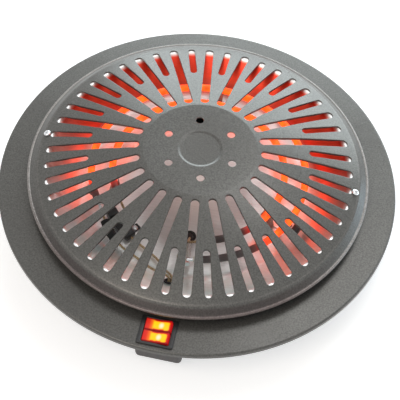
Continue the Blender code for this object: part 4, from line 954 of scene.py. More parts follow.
# %% The glow
def glowing_metal():
    """Heat runs from grey-brown oxide through dark red to orange. The surface is a little uneven in heat."""
    material, tree, shader = new_material("glowing_element")
    heat = add(tree, "ShaderNodeAttribute", attribute_name="ring_heat").outputs["Fac"]
    clouds, height = patterned(tree, "grain", 160.0)
    warmth = number(tree, "MULTIPLY", heat, spread(tree, clouds, 0.80, 1.0))
    glow = ramp(tree, warmth, (0.0, (0, 0, 0)), (0.25, (0.017, 0.0004, 0.0002)), (0.55, (0.20, 0.003, 0.001)),
                (0.8, (0.80, 0.036, 0.002)), (1.0, (1.0, 0.110, 0.006)))
    skin = between(tree, warmth, (0.150, 0.120, 0.115), (0.30, 0.05, 0.02))
    fill(tree, shader, {"Emission Color": glow, "Emission Strength": 2.2, "Base Color": skin,
                        "Roughness": 0.55, "Normal": relief(tree, height, 0.00006)})
    return material


# %% [markdown]
# A ring is a circle carried along an arc. The real tube is open, with a bush in each end. Here circles that
# are drawn in to a point close each end flat, and the bush stands against it.

# %% Build the rings
RING_Z = FLANGE_Z + 0.0118
TUBE_RADIUS = 0.0034
TUBE_STEPS, TUBE_SIDES, TUBE_CAP = 300, 24, (0, 0.6, 0.92)
RING_RADII = {"outer": OUTER_RING, "inner": INNER_RING}
RING_ENDS = {"outer": [math.radians(a) for a in (-77, 213)], "inner": [math.radians(a) for a in (-70, 212)]}
HOT_START, HOT_END, HOT_FADE = math.radians(-46), math.radians(207), math.radians(14)
COLD_SIDE = math.radians(-100)
GLOWING = glowing_metal()


def ring_grid(radius, start, end):
    """A bent tube: (R + s t cos p, angle a, Z + s t sin p), where s closes it to a point at both ends."""
    caps = len(TUBE_CAP)
    a = np.concatenate(([start] * caps, np.linspace(start, end, TUBE_STEPS), [end] * caps))
    s = np.concatenate((TUBE_CAP, np.ones(TUBE_STEPS), TUBE_CAP[::-1]))
    p = evenly(TUBE_SIDES)[:, None]
    r = radius + s * TUBE_RADIUS * np.cos(p)
    return np.stack((r * np.cos(a), r * np.sin(a), RING_Z + s * TUBE_RADIUS * np.sin(p)), axis=-1)


def store_heat(mesh):
    """Writes the heat of every point: 1 along the wire, and an even fade over a few degrees at its ends."""
    co = np.empty(len(mesh.vertices) * 3)
    mesh.vertices.foreach_get("co", co)
    angle = np.arctan2(co[1::3], co[0::3])
    angle = np.where(angle < COLD_SIDE, angle + math.tau, angle)
    rise = np.clip((angle - HOT_START) / HOT_FADE + 0.5, 0, 1)
    fall = np.clip((HOT_END - angle) / HOT_FADE + 0.5, 0, 1)
    mesh.attributes.new("ring_heat", "FLOAT", "POINT").data.foreach_set("value", np.minimum(rise, fall))


for ring, radius in RING_RADII.items():
    mesh = welded([(ring_grid(radius, *RING_ENDS[ring]), True, False)])
    store_heat(mesh)
    piece("sheathed_ring_" + ring, mesh, GLOWING, "element_" + ring)

# %% [markdown]
# A ceramic bush closes each end of a tube, and a pin comes out of it. Both are turned about the line on
# which the tube leaves off.

# %% Bushes and pins
BORE, BUSH_RADIUS, BUSH_NOSE, BUSH_LENGTH = 0.0016, 0.0030, 0.00255, 0.0070
PIN_LENGTH, PIN_RADIUS = 0.0130, 0.0013
bush_section = bent((BORE, 0.0003), (BORE, 0, 0), (BUSH_RADIUS, 0, 0.0003), (0.0029, 0.0040, 0.0003),
                    (BUSH_NOSE, BUSH_LENGTH, 0.0008), (BORE, BUSH_LENGTH, 0), (BORE, 0.0060))
pin_section = bent((0, 0), (PIN_RADIUS, 0, 0), (PIN_RADIUS, PIN_LENGTH, 0.0004), (0, PIN_LENGTH))
for ring, radius in RING_RADII.items():
    for side, angle, way in (("right", RING_ENDS[ring][0], -1), ("left", RING_ENDS[ring][1], 1)):
        along = Vector((-math.sin(angle), math.cos(angle), 0)) * way
        end = axis_frame(polar(radius, angle, RING_Z) + along * GAP, along)
        packed = "element_%s_%%s_%s" % (ring, side)
        piece("bush_%s_%s" % (ring, side), lathe(bush_section, place=end), CERAMIC, packed % "bush")
        piece("pin_%s_%s" % (ring, side), lathe(pin_section, place=end), ZINC, packed % "pin")

# %% [markdown]
# ## Pieces that keep their packed form
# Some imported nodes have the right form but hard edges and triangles. A copy is merged back into whole faces
# and given a small bevel, which catches the light along each edge.

# %% Refined copies
FLAT_ENOUGH = math.radians(1.5)
SHARP_ENOUGH = math.radians(40)
SOFT_LEVELS = 2


def packed_copy(node, flat=FLAT_ENOUGH):
    """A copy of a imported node's mesh, merged, with its flat neighbours joined into whole faces."""
    mesh = bpy.data.meshes.new(node + "_copy")
    with edited(mesh) as bm:
        bm.from_mesh(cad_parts[node].data)
        bm.transform(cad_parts[node].matrix_world)
        bmesh.ops.remove_doubles(bm, verts=bm.verts, dist=WELD)
        if flat:
            bmesh.ops.dissolve_limit(bm, angle_limit=flat, verts=bm.verts, edges=bm.edges)
        bmesh.ops.recalc_face_normals(bm, faces=bm.faces)
    return mesh


def bevelled(mesh, width, segments=3):
    """Rounds every sharp edge."""
    with edited(mesh) as bm:
        edges = [edge for edge in bm.edges if edge.is_manifold and edge.calc_face_angle() > SHARP_ENOUGH]
        bmesh.ops.bevel(bm, geom=edges, offset=width, segments=segments, profile=0.5, affect="EDGES",
                        clamp_overlap=True)
    return mesh


def softened(mesh):
    """Rounds a whole mesh by subdivision, and keeps the result."""
    obj = shown("soft", mesh)
    modifier = obj.modifiers.new("soft", "SUBSURF")
    modifier.levels = modifier.render_levels = SOFT_LEVELS
    result = worked_out(obj)
    bpy.data.objects.remove(obj)
    return result


# %% [markdown]
# Three spring clips of browned steel carry the rings. A black block, the thermal cut-out, opens the circuit
# when the dish gets too hot. The nuts, studs and tabs are small and hidden, but they are bevelled as well.

# %% Clips, cut-out, nuts, studs and tabs
FINE_BEVEL, EDGE_BEVEL, CASE_BEVEL = 0.00015, 0.0002, 0.0003
for k in (1, 2, 3):
    piece("spring_clip_%d" % k, bevelled(packed_copy("ring_clip_%d" % k), FINE_BEVEL, 2), BROWNED,
          "ring_clip_%d" % k)
piece("cutout_case", bevelled(packed_copy("thermal_cutout"), CASE_BEVEL), BLACK, "thermal_cutout")
for side in ("left", "right"):
    for nut in ("guard_nut_", "box_nut_", "box_stud_"):
        piece("hex_" + nut + side, bevelled(packed_copy(nut + side), EDGE_BEVEL, 2), ZINC, nut + side)
for k in range(1, 7):
    piece("terminal_tab_%d" % k, bevelled(packed_copy("switch_tab_%d" % k), EDGE_BEVEL, 2), BRASS,
          "switch_tab_%d" % k)

# %% [markdown]
# ## Wires and small blocks
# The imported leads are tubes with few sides, so a subdivision rounds them. They keep their packed routes.

# %% Leads
for lead in ("cutout", "inner_left", "inner_right", "outer_left", "outer_right"):
    piece("sleeved_lead_" + lead, softened(packed_copy("lead_" + lead, flat=0)), SLEEVE, "lead_" + lead)

# %% [markdown]
# Some wires are made here as new tubes: black insulating sleeves over the joints, and a white glass-braided
# wire at the right ends of the rings. A tube is a circle carried along a smooth path through a few points.

# %% Tubes along a path
PATH_STEPS, PATH_SIDES = 10, 20
STRAND_LAY, STRAND_FULLNESS = 0.012, 0.14


def smooth_path(points):
    """A Catmull-Rom curve: each stretch is a cubic that leaves and arrives along its neighbours' line."""
    p = np.array(points)
    p = np.vstack((2 * p[0] - p[1], p, 2 * p[-1] - p[-2]))
    t = np.linspace(0, 1, PATH_STEPS + 1)[:-1, None, None]
    a, b, c, d = p[:-3], p[1:-2], p[2:-1], p[3:]
    curve = 0.5 * (2 * b + (c - a) * t + (2 * a - 5 * b + 4 * c - d) * t ** 2
                   + (3 * b - a - 3 * c + d) * t ** 3)
    return np.vstack((curve.transpose(1, 0, 2).reshape(-1, 3), p[-2:-1]))


def tube(radius, *places, strands=0):
    """Circles of radius (1 + fullness cos(strands (a - turn))) round a path; turn grows with its length.

    A place is (radius in mm, angle in degrees, height over the reflector's floor in mm).
    """
    path = smooth_path([polar(r / 1000, math.radians(a), FLOOR_Z + z / 1000) for r, a, z in places])
    along = np.gradient(path, axis=0)
    along /= np.linalg.norm(along, axis=1)[:, None]
    lengths = np.concatenate(([0], np.cumsum(np.linalg.norm(np.diff(path, axis=0), axis=1))))
    side = np.cross(along, (0, 0, 1))
    side /= np.linalg.norm(side, axis=1)[:, None]
    over = np.cross(side, along)
    a = evenly(PATH_SIDES)[None, :, None]
    twist = math.tau * lengths[:, None, None] / STRAND_LAY
    swell = 1 + STRAND_FULLNESS * (strands > 0) * np.cos(strands * (a - twist))
    rings = path[:, None] + radius * swell * (side[:, None] * np.cos(a) + over[:, None] * np.sin(a))
    caps = [np.tile(end, (1, PATH_SIDES, 1)) for end in (path[0], path[-1])]
    return welded([(np.vstack((caps[0], rings, caps[1])), False, True)])


# %% [markdown]
# The two blocks, the cut-out's cap and a stop for the ring, are moulded. Each lies along the rings, so it is
# a box turned to its middle angle, with rounded edges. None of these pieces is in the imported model, so they
# replace nothing.

# %% Sleeves, braided wire and blocks
STOP_BEVEL = 0.0012


def sector_block(inner, outer, start, end, low, high):
    """A rounded block between two radii, two angles in degrees and two heights over the reflector's floor."""
    middle = math.radians(start + end) / 2
    along = (inner + outer) / 2 * math.radians(end - start)
    low, high = FLOOR_Z + low, FLOOR_Z + high
    mesh = block((outer - inner, along, high - low), Vector(((inner + outer) / 2, 0, (low + high) / 2)))
    mesh.transform(around(middle))
    return bevelled(mesh, STOP_BEVEL)


EXTRAS = {
    "junction_sleeve": (tube(0.0044, (104.7, -133.0, 16.5), (107.0, -128.5, 14.5), (108.2, -123.0, 11.8)),
                        RUBBER, "rubber"),
    "wire_sleeve": (tube(0.0031, (76.0, -84.4, 7.5), (71.5, -84.6, 6.3), (67.5, -84.9, 4.6)),
                    RUBBER, "rubber"),
    "braided_wire": (tube(0.0017, (100.5, -83.9, 12.5), (94.0, -83.6, 10.2), (86.0, -84.1, 9.2),
                          (78.0, -84.2, 8.2), (72.0, -84.6, 6.6), strands=3), GLASS_BRAID, "lead_sleeve"),
    "wire_crimp": (tube(0.0021, (103.6, -83.9, 13.8), (101.8, -83.9, 13.0), (99.8, -83.9, 12.2)),
                   ZINC, "zinc_steel"),
    "cutout_cap": (sector_block(0.0865, 0.0968, -141.5, -136.2, 0.0006, 0.0092), BLACK, "black_plastic"),
    "ring_stop": (sector_block(0.1056, 0.1125, -26.5, -17.5, 0.0064, 0.0145), BLACK, "black_plastic"),
}
for name, (mesh, material, slot) in EXTRAS.items():
    piece(name, mesh, material, None)

# %% [markdown]
# ## Screws and rivets
# A pan-head screw has a domed head with a cross recess. Its arms are wider at the top than at the bottom, so
# that a driver centres itself. The recess is cut with two tapered bars.

# %% Turned fasteners
HEAD_RADIUS, HEAD_HEIGHT, SHANK_RADIUS = 0.0033, 0.0022, 0.0017
ARM_REACH, ARM_HALF, ARM_DEPTH, ARM_TAPER = 0.0019, 0.00042, 0.0012, 0.45
RIVET_HEAD, RIVET_SHANK, RIVET_CLOSED = 0.0028, 0.0014, 0.0012
RIVET_GRIP = 0.0008 + GAP + ALUMINIUM


def cross_arm(turn):
    """A bar across the head that narrows downward, for one arm of the recess."""
    ends = ((1.0, HEAD_HEIGHT + GAP), (ARM_TAPER, HEAD_HEIGHT - ARM_DEPTH))
    points = [(sx * ARM_REACH * grow, sy * ARM_HALF * grow, z) for grow, z in ends
              for sx, sy in ((-1, -1), (1, -1), (1, 1), (-1, 1))]
    mesh = bpy.data.meshes.new("arm")
    mesh.from_pydata(points, [], [(0, 1, 2, 3), (7, 6, 5, 4), (1, 0, 4, 5), (2, 1, 5, 6), (3, 2, 6, 7),
                                  (0, 3, 7, 4)])
    mesh.transform(around(turn))
    return faced_outward(mesh)


def screw(length, place):
    """A pan-head screw whose head stands on z = 0 and whose shank hangs below."""
    section = bent((0, -length), (SHANK_RADIUS, -length, 0.0006), (SHANK_RADIUS, 0, 0),
                   (HEAD_RADIUS, 0, 0.0002), (HEAD_RADIUS, HEAD_HEIGHT * 0.62, 0.0009),
                   (HEAD_RADIUS * 0.62, HEAD_HEIGHT * 0.96, 0.0018), (0, HEAD_HEIGHT))
    mesh = combined(lathe(section), [cross_arm(0), cross_arm(math.pi / 2)])
    mesh.transform(place)
    return mesh


def rivet(point):
    """A rivet through a grip that ends at z = 0, with a dome head above and a closed head below."""
    closed, low, end = RIVET_HEAD * 0.6, -RIVET_GRIP - GAP, -RIVET_GRIP - RIVET_CLOSED
    section = bent((0, end), (closed, end, 0.0005), (closed, low, 0),
                   (RIVET_SHANK, low, 0), (RIVET_SHANK, GAP, 0), (RIVET_HEAD, GAP, 0.0001),
                   (RIVET_HEAD * 0.75, 0.0011, 0.0009), (0, 0.0015))
    return lathe(section, place=Matrix.Translation(point))


# %% [markdown]
# The guard screws stand on the land, square to it, and reach through four lips to their nuts. A rivet holds
# each clip, and one more holds the cut-out.

# %% Build the screws and rivets
NUT_DEPTH = PAN_LIP_DEPTH + STEEL + GAP
GUARD_SCREW = NUT_DEPTH + 2 * GAP + 0.0024
CLIP_SEAT_Z = FLOOR_Z + GAP + 0.0008
for name, side in (("right", 0), ("left", math.pi)):
    on_land = land_frame(side) @ moved(0, 0, GAP) @ around(math.radians(25))
    piece("cross_screw_" + name, screw(GUARD_SCREW, on_land), ZINC, "guard_screw_" + name)
for k, angle in enumerate(CLIP_ANGLES, 1):
    piece("dome_rivet_%d" % k, rivet(polar(MIDDLE_RING, angle, CLIP_SEAT_Z)), ZINC, "clip_rivet_%d" % k)
piece("cutout_rivet", rivet(CUTOUT_RIVET), ZINC, "thermal_cutout_rivet")

# %% [markdown]
# ## Rubber pieces
# Grommets line the holes that the leads pass, and a gland lines the hole in the side of the switch box.
# Moulded rubber has no sharp edge, so every corner of these sections is a small arc.

# %% Grommets and gland
LIP_HEIGHT = 0.0012
GLAND = axis_frame(Vector((0.0240, SWITCH_Y, FLANGE_Z - 0.0150)), ALONG_X)


def grommet(bore, thickness, place):
    """A rubber ring buttoned into a sheet whose upper face is z = 0."""
    neck, lip = bore + 0.0012, bore + 0.0025
    top, under, low = GAP + LIP_HEIGHT, -thickness - GAP, -thickness - GAP - LIP_HEIGHT
    section = bent((bore, 0), (bore, low, 0.0004), (lip, low, 0.0005), (lip, under, 0.0002), (neck, under, 0),
                   (neck, GAP, 0), (lip, GAP, 0.0002), (lip, top, 0.0005), (bore, top, 0.0004), (bore, 0))
    return lathe(section[:-1], place=place)


def gland():
    """A rubber sleeve with two lips that hold it in the box's wall, and a tapered nose."""
    bore, neck, lip, nose = 0.0037, 0.0053, 0.0069, 0.0045
    section = bent((bore, 0.0010), (bore, -0.0029, 0.0004), (lip, -0.0029, 0.0005), (lip, -0.0013, 0.0003),
                   (neck, -0.0013, 0), (neck, GAP, 0), (lip, GAP, 0.0003), (lip, 0.0019, 0.0006),
                   (neck, 0.0019, 0.0004), (nose, 0.0070, 0.0005), (bore, 0.0070, 0.0003), (bore, 0.0010))
    return lathe(section[:-1], place=GLAND)


for name, bore, thickness, place in (("pan", 0.0042, STEEL, PAN_GROMMET),
                                     ("floor", 0.0036, ALUMINIUM, FLOOR_GROMMET),
                                     ("wall", 0.0034, ALUMINIUM, WALL_GROMMET)):
    piece("rubber_ring_" + name, grommet(bore, thickness, place), RUBBER, name + "_grommet")
piece("gland_sleeve", gland(), RUBBER, "cord_gland")

# %% [markdown]
# Four rubber feet keep the hot pan off the floor. Each has a well in its underside, so that the head of its
# screw can't scratch what it stands on.

# %% Build the feet
FOOT_TOP = FOOT_HEIGHT - GAP
FOOT_WELL, FOOT_WELL_TOP, FOOT_BORE = 0.0046, 0.0055, 0.0020
FOOT_COLUMNS = 48
FOOT_SCREW, FOOT_SCREW_SEAT = 0.0085, 0.0052
foot_section = bent((FOOT_WELL, 0.0030), (FOOT_WELL, 0, 0.0006), (0.0078, 0, 0.0008),
                    (0.0082, 0.0025, 0.0008), (0.0090, FOOT_TOP, 0.0006), (FOOT_BORE, FOOT_TOP, 0),
                    (FOOT_BORE, FOOT_WELL_TOP, 0), (FOOT_WELL, FOOT_WELL_TOP, 0.0003), (FOOT_WELL, 0.0030))
for k, angle in enumerate(FOOT_ANGLES, 1):
    place = polar(FOOT_CIRCLE, angle, 0)
    foot = lathe(foot_section[:-1], FOOT_COLUMNS, Matrix.Translation(place))
    piece("rubber_foot_%d" % k, foot, RUBBER, "foot_%d" % k)
    seat = Matrix.Translation(place + FOOT_SCREW_SEAT * UP) @ Matrix.Rotation(math.pi, 4, "X")
    piece("foot_fixing_%d" % k, screw(FOOT_SCREW, seat), ZINC, "foot_screw_%d" % k)

# %% [markdown]
# ## Lofted shapes
# The switch's housing and the painted box round it are lofts: rounded rectangles at several heights, joined
# in order. Each rectangle has the same number of points, so the whole loft is again one grid.

# %% Lofts of rounded rectangles
CORNER_STEPS = 8


def plan_ring(left, right, front, back, corner, z):
    """A rounded rectangle: each corner's centre plus corner times (cos a, sin a), a quarter turn each."""
    a = np.linspace(0, math.pi / 2, CORNER_STEPS + 1)
    centres = ((right - corner, back - corner), (left + corner, back - corner),
               (left + corner, front + corner), (right - corner, front + corner))
    plan = np.vstack([pairs(x + corner * np.cos(a + turn), y + corner * np.sin(a + turn))
                      for (x, y), turn in zip(centres, (0, math.pi / 2, math.pi, math.pi * 1.5))])
    return np.column_stack((plan, np.full(len(plan), z)))


def lofted(rings):
    """Joins rings in order, and closes the first and the last by drawing them in to their centres."""
    first, last = (np.tile(ring.mean(axis=0), (len(ring), 1)) for ring in (rings[0], rings[-1]))
    return welded([(np.stack((first, *rings, last)), False, True)])


# %% [markdown]
# ## The switch
# The housing drops through the rim's opening and hangs on its bezel. Two rockers lie side by side in its
# well, on one pin. The bezel's outer edge is rounded, so the loft steps round a quarter arc there.

# %% Build the housing
SWITCH_TOP_Z = FLANGE_Z + 0.0020
WELL, WELL_DEPTH = Vector((0.0242, 0.0227)), 0.0098
BEZEL, BEZEL_CORNER = Vector((0.0322, 0.0271)), 0.0016
WAIST = BODY - Vector((0.0040, 0.0040))
BEZEL_ROUND, WELL_ROUND, SWITCH_CORNER = 0.0006, 0.0004, 0.0008
SHOULDER_Z, HOUSING_Z = FLANGE_Z - 0.0094, FLANGE_Z - 0.0190
PIVOT_Z = SWITCH_TOP_Z - 0.0024
ROW = 0.005625
ROWS = (("inner", 1), ("outer", -1))
TAB_PITCH, TAB_HOLE, TAB_HOLE_DEPTH, PIVOT_HOLE = 0.0080, (0.0014, 0.0054, 0.0046), 0.0020, 0.0012
TAB_HOLE_Z = HOUSING_Z + TAB_HOLE_DEPTH - TAB_HOLE[2] / 2


def switch_ring(size, z, corner=SWITCH_CORNER, inset=0.0):
    """A ring of the switch's plan, drawn in by an inset."""
    half = size / 2 - Vector((inset, inset))
    return plan_ring(-half.x, half.x, SWITCH_Y - half.y, SWITCH_Y + half.y, corner, z)


housing_rings = [switch_ring(WAIST, HOUSING_Z), switch_ring(WAIST, SHOULDER_Z), switch_ring(BODY, SHOULDER_Z),
                 switch_ring(BODY, FLANGE_Z + GAP), switch_ring(BEZEL, FLANGE_Z + GAP, BEZEL_CORNER)]
for turn in np.linspace(0, math.pi / 2, 5):
    housing_rings.append(switch_ring(BEZEL, SWITCH_TOP_Z - BEZEL_ROUND * (1 - math.sin(turn)), BEZEL_CORNER,
                                     BEZEL_ROUND * (1 - math.cos(turn))))
for turn in np.linspace(math.pi / 2, 0, 4):
    housing_rings.append(switch_ring(WELL, SWITCH_TOP_Z - WELL_ROUND * (1 - math.sin(turn)), SWITCH_CORNER,
                                     -WELL_ROUND * (1 - math.cos(turn))))
housing_rings.append(switch_ring(WELL, SWITCH_TOP_Z - WELL_DEPTH))
tab_cutters = [block(TAB_HOLE, Vector((TAB_PITCH * column, SWITCH_Y + ROW * row, TAB_HOLE_Z)))
               for row in (1, -1) for column in (-1, 0, 1)]
pin_drill = rod(PIVOT_HOLE, 2 * BODY.y, Vector((0, SWITCH_Y - BODY.y, PIVOT_Z)), ALONG_Y)
piece("switch_body", combined(lofted(housing_rings), tab_cutters + [pin_drill]), BLACK, "switch_housing")

# %% [markdown]
# The rockers are clear red plastic with a lamp under one end. From above that end looks yellow with a white
# core, and the light stops at a rounded frame moulded inside the rocker. The material draws this from the
# distance to that frame and from the distance to the lamp.

# %% The lit lens
WINDOWS = (((0.0016, -0.0001), (0.0062, 0.0021)), ((0.0070, -0.0016), (0.0008, 0.0016)))
LAMP_SPOT, LAMP_SQUASH = (0.0024, -0.0001), (1, 0.8, 0)
WINDOW_REACH, CORE_REACH = 0.0044, (0.0008, 0.0028)
DIM_REACH, EDGE_REACH = (-0.0119, -0.0036), (0.0040, 0.0051)
WINDOW_TONES = ((0.0, (1.0, 0.72, 0.010)), (0.24, (1.0, 0.62, 0.010)), (0.32, (1.0, 0.30, 0.008)),
                (0.42, (0.74, 0.050, 0.006)), (0.60, (0.50, 0.008, 0.008)), (1.0, (0.42, 0.008, 0.010)))
DIM_TONES = ((0.0, (0.50, 0.014, 0.010)), (0.45, (0.72, 0.035, 0.018)), (0.75, (0.90, 0.20, 0.012)),
             (1.0, (1.0, 0.62, 0.010)))
CORE_COLOUR, EDGE_COLOUR, LENS_COLOUR = (1.0, 1.0, 0.62), (0.13, 0.002, 0.003), (0.22, 0.004, 0.004, 1)


def window_distance(tree, place, middle, centre, half):
    """The distance to a window in plan: the length of max(|p - centre| - half size, 0)."""
    beside = vector(tree, "SUBTRACT", place, (centre[0], middle + centre[1], 0))
    over = vector(tree, "SUBTRACT", vector(tree, "ABSOLUTE", beside), (*half, 1))
    return length(tree, vector(tree, "MAXIMUM", over, (0, 0, 0)))


def lit_lens(name, row):
    """Yellow near two boxes, which make a bent window, white near the lamp, and red elsewhere."""
    material, tree, shader = new_material(name)
    place = own_place(tree)
    x, y = part_of(tree, place, "X"), part_of(tree, place, "Y")
    middle = SWITCH_Y + row * ROW
    nearest = number(tree, "MINIMUM", *[window_distance(tree, place, middle, *window) for window in WINDOWS])
    beside = vector(tree, "SUBTRACT", place, (LAMP_SPOT[0], middle + LAMP_SPOT[1], 0))
    lamp_distance = length(tree, vector(tree, "MULTIPLY", beside, LAMP_SQUASH))
    clouds, height = patterned(tree, "grain", 420.0)
    edge = number(tree, "ADD", nearest, spread(tree, clouds, -0.0002, 0.0002))
    window = ramp(tree, spread(tree, edge, 0, 1, 0, WINDOW_REACH), *WINDOW_TONES)
    dim_end = ramp(tree, spread(tree, x, 0, 1, *DIM_REACH), *DIM_TONES)
    window = between(tree, spread(tree, x, 1, 0, DIM_REACH[1] - 0.0020, DIM_REACH[1]), window, dim_end)
    lit = between(tree, spread(tree, lamp_distance, 1.0, 0.0, *CORE_REACH), window, CORE_COLOUR)
    from_middle = number(tree, "ABSOLUTE", number(tree, "SUBTRACT", y, middle))
    glow = between(tree, spread(tree, from_middle, 0.0, 1.0, *EDGE_REACH), lit, EDGE_COLOUR)
    fill(tree, shader, {"Emission Color": glow, "Emission Strength": 0.95, "Base Color": LENS_COLOUR,
                        "Specular IOR Level": 0.25, "Roughness": 0.22,
                        "Normal": relief(tree, height, 0.00004)})
    return material


for name, row in ROWS:
    rocker = bevelled(packed_copy("rocker_" + name), 0.00035)
    piece("lit_rocker_" + name, rocker, lit_lens("lit_lens_" + name, row), "rocker_" + name,
          "rocker_" + name)

# %% [markdown]
# Both rockers tip about one steel pin, which lies across the well. A small neon lamp stands under each, and
# hardly shows through the red lens.

# %% Pin and lamps
LAMP_RADIUS, LAMP_NECK, LAMP_SHOULDER, LAMP_HEIGHT = 0.0016, 0.0009, 0.0050, 0.0066
PIVOT_RADIUS, PIVOT_LENGTH = 0.0009, BODY.y - 2 * GAP
LAMP = finish("lamp_glass", (0.85, 0.45, 0.15), (0.95, 0.60, 0.25), (0.10, 0.20), scale=800.0,
              Emission_Strength=1.5, Emission_Color=(1.0, 0.45, 0.10, 1))
bulb = bent((0, 0), (LAMP_RADIUS, 0, 0.0002), (LAMP_RADIUS, LAMP_SHOULDER, 0.0008),
            (LAMP_NECK, LAMP_HEIGHT, 0.0008), (0, LAMP_HEIGHT))
for name, row in ROWS:
    foot = moved(0.0040, SWITCH_Y + row * ROW, SWITCH_TOP_Z - WELL_DEPTH + GAP)
    piece("neon_lamp_" + name, lathe(bulb, place=foot), LAMP, "switch_lamp_" + name)
pivot = bent((0, 0), (PIVOT_RADIUS, 0, 0.0002), (PIVOT_RADIUS, PIVOT_LENGTH, 0.0002), (0, PIVOT_LENGTH))
pivot_frame = axis_frame(Vector((0, SWITCH_Y - PIVOT_LENGTH / 2, PIVOT_Z)), ALONG_Y)
piece("pivot_pin", lathe(pivot, place=pivot_frame), ZINC, "rocker_pin")

# %% [markdown]
# ## The switch box
# A drawn steel box covers the switch's terminals under the flange. Its walls lean in toward the bottom, its
# corners are round, and two ears are nutted to studs on the flange. It is lofted down its outside, round its
# bottom, and up its inside.

# %% Build the box
BOX_LEFT, BOX_RIGHT, BOX_WALL, BOX_CORNER, BOX_DRAFT = 0.0178, 0.0240, 0.0010, 0.0042, 0.0028
BOX_TOP = FLANGE_Z - STEEL - GAP
BOX_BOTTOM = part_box("switch_box")[0].z
BOX_BACK = -(PAN_TOP + STEEL + 0.0030)
BOX_FRONT = -(RIM_RADIUS - 0.0034)
EAR_REACH, EAR_HALF, EAR_CORNER, EAR_HOLE = 0.0110, 0.0060, 0.0035, 0.0018
EAR_DRILL_Z, GLAND_HOLE, LEAD_HOLE, LEAD_HOLE_Z = 0.0380, 0.0056, 0.0065, FLANGE_Z - 0.0165


def box_ring(inset, rise):
    """The box's plan at a height above its bottom; the front wall leans in by the draft."""
    front = BOX_FRONT + BOX_DRAFT * (1 - rise / (BOX_TOP - BOX_BOTTOM))
    return plan_ring(-BOX_LEFT + inset, BOX_RIGHT - inset, front + inset, BOX_BACK - inset,
                     max(BOX_CORNER - inset, BOX_WALL), BOX_BOTTOM + rise)


def box_shell(wall):
    """The rings of one face of the box, from its top down and round the bend to its floor."""
    bend = BOX_CORNER - wall
    return [box_ring(wall, BOX_TOP - BOX_BOTTOM)] + [
        box_ring(wall + bend * (1 - math.cos(turn)), wall + bend * (1 - math.sin(turn)))
        for turn in np.linspace(0, math.pi / 2, 7)]


def box_ear(side, wall):
    """An ear beside the box, under the flange."""
    near, far = sorted((side * (wall - BOX_WALL / 2), side * (wall + EAR_REACH)))
    heights = (FLANGE_Z - STEEL - 2 * GAP - BOX_WALL, FLANGE_Z - STEEL - 2 * GAP)
    return lofted([plan_ring(near, far, SWITCH_Y - EAR_HALF, SWITCH_Y + EAR_HALF, EAR_CORNER, z)
                   for z in heights])


BOX_SIDES = ((1, BOX_RIGHT), (-1, BOX_LEFT))
box_drills = [rod(EAR_HOLE, 3 * OVERRUN, Vector((side * (wall + EAR_REACH / 2), SWITCH_Y, EAR_DRILL_Z)), UP)
              for side, wall in BOX_SIDES]
box_drills.append(drill(GLAND_HOLE, GLAND, 2 * OVERRUN))
box_drills.append(rod(LEAD_HOLE, 3 * OVERRUN, Vector((0, BOX_BACK - 2 * OVERRUN, LEAD_HOLE_Z)), ALONG_Y))
box_mesh = combined(lofted(box_shell(0)[::-1] + box_shell(BOX_WALL)),
                    [box_ear(side, wall) for side, wall in BOX_SIDES], "UNION")
piece("terminal_box", combined(box_mesh, box_drills), MATT_PAINT_SHADED, "switch_box")

# %% [markdown]
# ## The stage
# The floor and the background are white, as in a catalogue picture. The floor is a plain diffuse sheet that
# also shows a little white of its own to the camera, so that it reads as white while the object's shadow
# stays on it.

# %% Floor and world
FLOOR_HALF, FLOOR_GLOW, SKY_LIGHT = 6, 0.55, 0.36


def white_seen(tree, strength):
    """White of a strength, for camera, glossy and transmitted rays only."""
    path = add(tree, "ShaderNodeLightPath").outputs
    seen = number(tree, "MAXIMUM", path["Is Camera Ray"], path["Is Glossy Ray"])
    return number(tree, "MULTIPLY", number(tree, "MAXIMUM", seen, path["Is Transmission Ray"]), strength)


floor_material, tree, shader = new_material("white_floor")
fill(tree, shader, {"Base Color": (0.85, 0.85, 0.85, 1), "Roughness": 0.9, "Emission Color": (1, 1, 1, 1),
                    "Emission Strength": white_seen(tree, FLOOR_GLOW)})
floor_mesh = bpy.data.meshes.new("floor")
floor_mesh.from_pydata([(x * FLOOR_HALF, y * FLOOR_HALF, 0) for x, y in ((-1, -1), (1, -1), (1, 1), (-1, 1))],
                       [], [(0, 1, 2, 3)])
floor_mesh.materials.append(floor_material)
shown("floor", floor_mesh)

scene = bpy.context.scene
scene.world = bpy.data.worlds.new("studio")
scene.world.use_nodes = True
sky = scene.world.node_tree
strength = number(sky, "ADD", white_seen(sky, 1.0 - SKY_LIGHT), SKY_LIGHT)
fill(sky, sky.nodes["Background"], {"Color": (1, 1, 1, 1), "Strength": strength})

# %% [markdown]
# Four soft panels light the object. The large one stands low behind it, and makes the guard's far side and
# its edges bright. One lies low at the right and draws the line along the rolled edge. One hangs high at the
# back, over the flange. The last, a little warm, hangs above the camera's left and keeps the front readable.

# %% Lamps
def panel(name, bearing, rise, distance, size, radiance, colour=(1, 1, 1)):
    """A soft lamp in a direction from the object, turned toward it, of an even radiance."""
    data = bpy.data.lights.new(name, "AREA")
    data.shape, data.color = "RECTANGLE", colour
    data.size, data.size_y = size
    data.energy = radiance * math.pi * data.size * data.size_y
    lamp = shown(name, data)
    bearing, rise = math.radians(bearing), math.radians(rise)
    away = polar(math.cos(rise), bearing, math.sin(rise))
    lamp.location = away * distance + FLANGE_Z * UP
    lamp.rotation_euler = away.to_track_quat("Z", "Y").to_euler()
    lamp.visible_camera = False


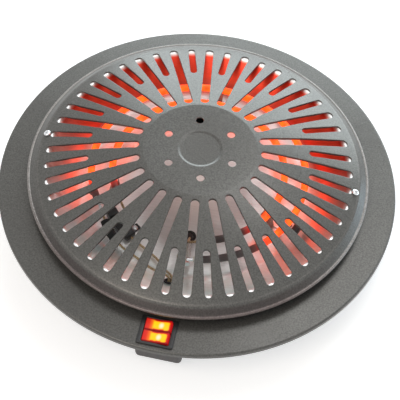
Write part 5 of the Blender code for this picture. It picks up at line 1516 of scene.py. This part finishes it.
panel("rear_panel", 85, 24.5, 1.4, (1.68, 0.70), 4.7, (0.85, 0.96, 1.0))
panel("side_panel", 15, 6, 1.4, (1.20, 0.28), 4.0, (0.65, 0.85, 1.0))
panel("top_panel", 70, 63, 1.5, (0.60, 0.55), 2.8)
panel("front_panel", 241, 58, 1.8, (0.9, 0.9), 3.2, (1.0, 0.90, 0.80))

# %% [markdown]
# The rings' light is thrown to and fro between the dish and the guard many times. A small warm lamp under the
# disc stands for that light. It is hidden from reflections, so that no bulb shows in the polished floor.

# %% The light between dish and guard
warm_data = bpy.data.lights.new("warm_lamp", "POINT")
warm_data.energy = 0.05
warm_data.color = (1.0, 0.80, 0.72)
warm_data.shadow_soft_size = 0.020
warm_lamp = shown("warm_lamp", warm_data)
warm_lamp.location = (0, 0, FLOOR_Z + 0.0320)
warm_lamp.visible_camera = warm_lamp.visible_glossy = False

# %% [markdown]
# ## The camera
# The photograph's camera was found by fitting circles of known radius to the edges seen in it. It stands in
# front of the switch, a little to the side, and looks down at 55 degrees with a slight roll.

# %% Camera
LOOK_DOWN, ROLL, TURN = math.radians(55.09), math.radians(4.182), math.radians(8.36)
CAMERA_PLACE = Vector((0.0173, -2.857, 3.8776)) * RIM_RADIUS
SENSOR = 36.0
FOCAL_PIXELS, IMAGE_PIXELS = 951.8, 400
back = Vector((0, -math.cos(LOOK_DOWN), math.sin(LOOK_DOWN)))
up = back.cross(ALONG_X)
rolled_right = ALONG_X * math.cos(ROLL) + up * math.sin(ROLL)
rolled_up = up * math.cos(ROLL) - ALONG_X * math.sin(ROLL)
axes = Matrix((rolled_right, rolled_up, back)).transposed().to_4x4()
camera_data = bpy.data.cameras.new("camera")
camera_data.sensor_width = SENSOR
camera_data.lens = FOCAL_PIXELS * SENSOR / IMAGE_PIXELS
camera = shown("camera", camera_data)
camera.matrix_world = around(TURN) @ Matrix.Translation(CAMERA_PLACE) @ axes
camera.location.z += FLANGE_Z
scene.camera = camera
scene.view_settings.view_transform = "Standard"
print("lens %.2f mm" % camera_data.lens)
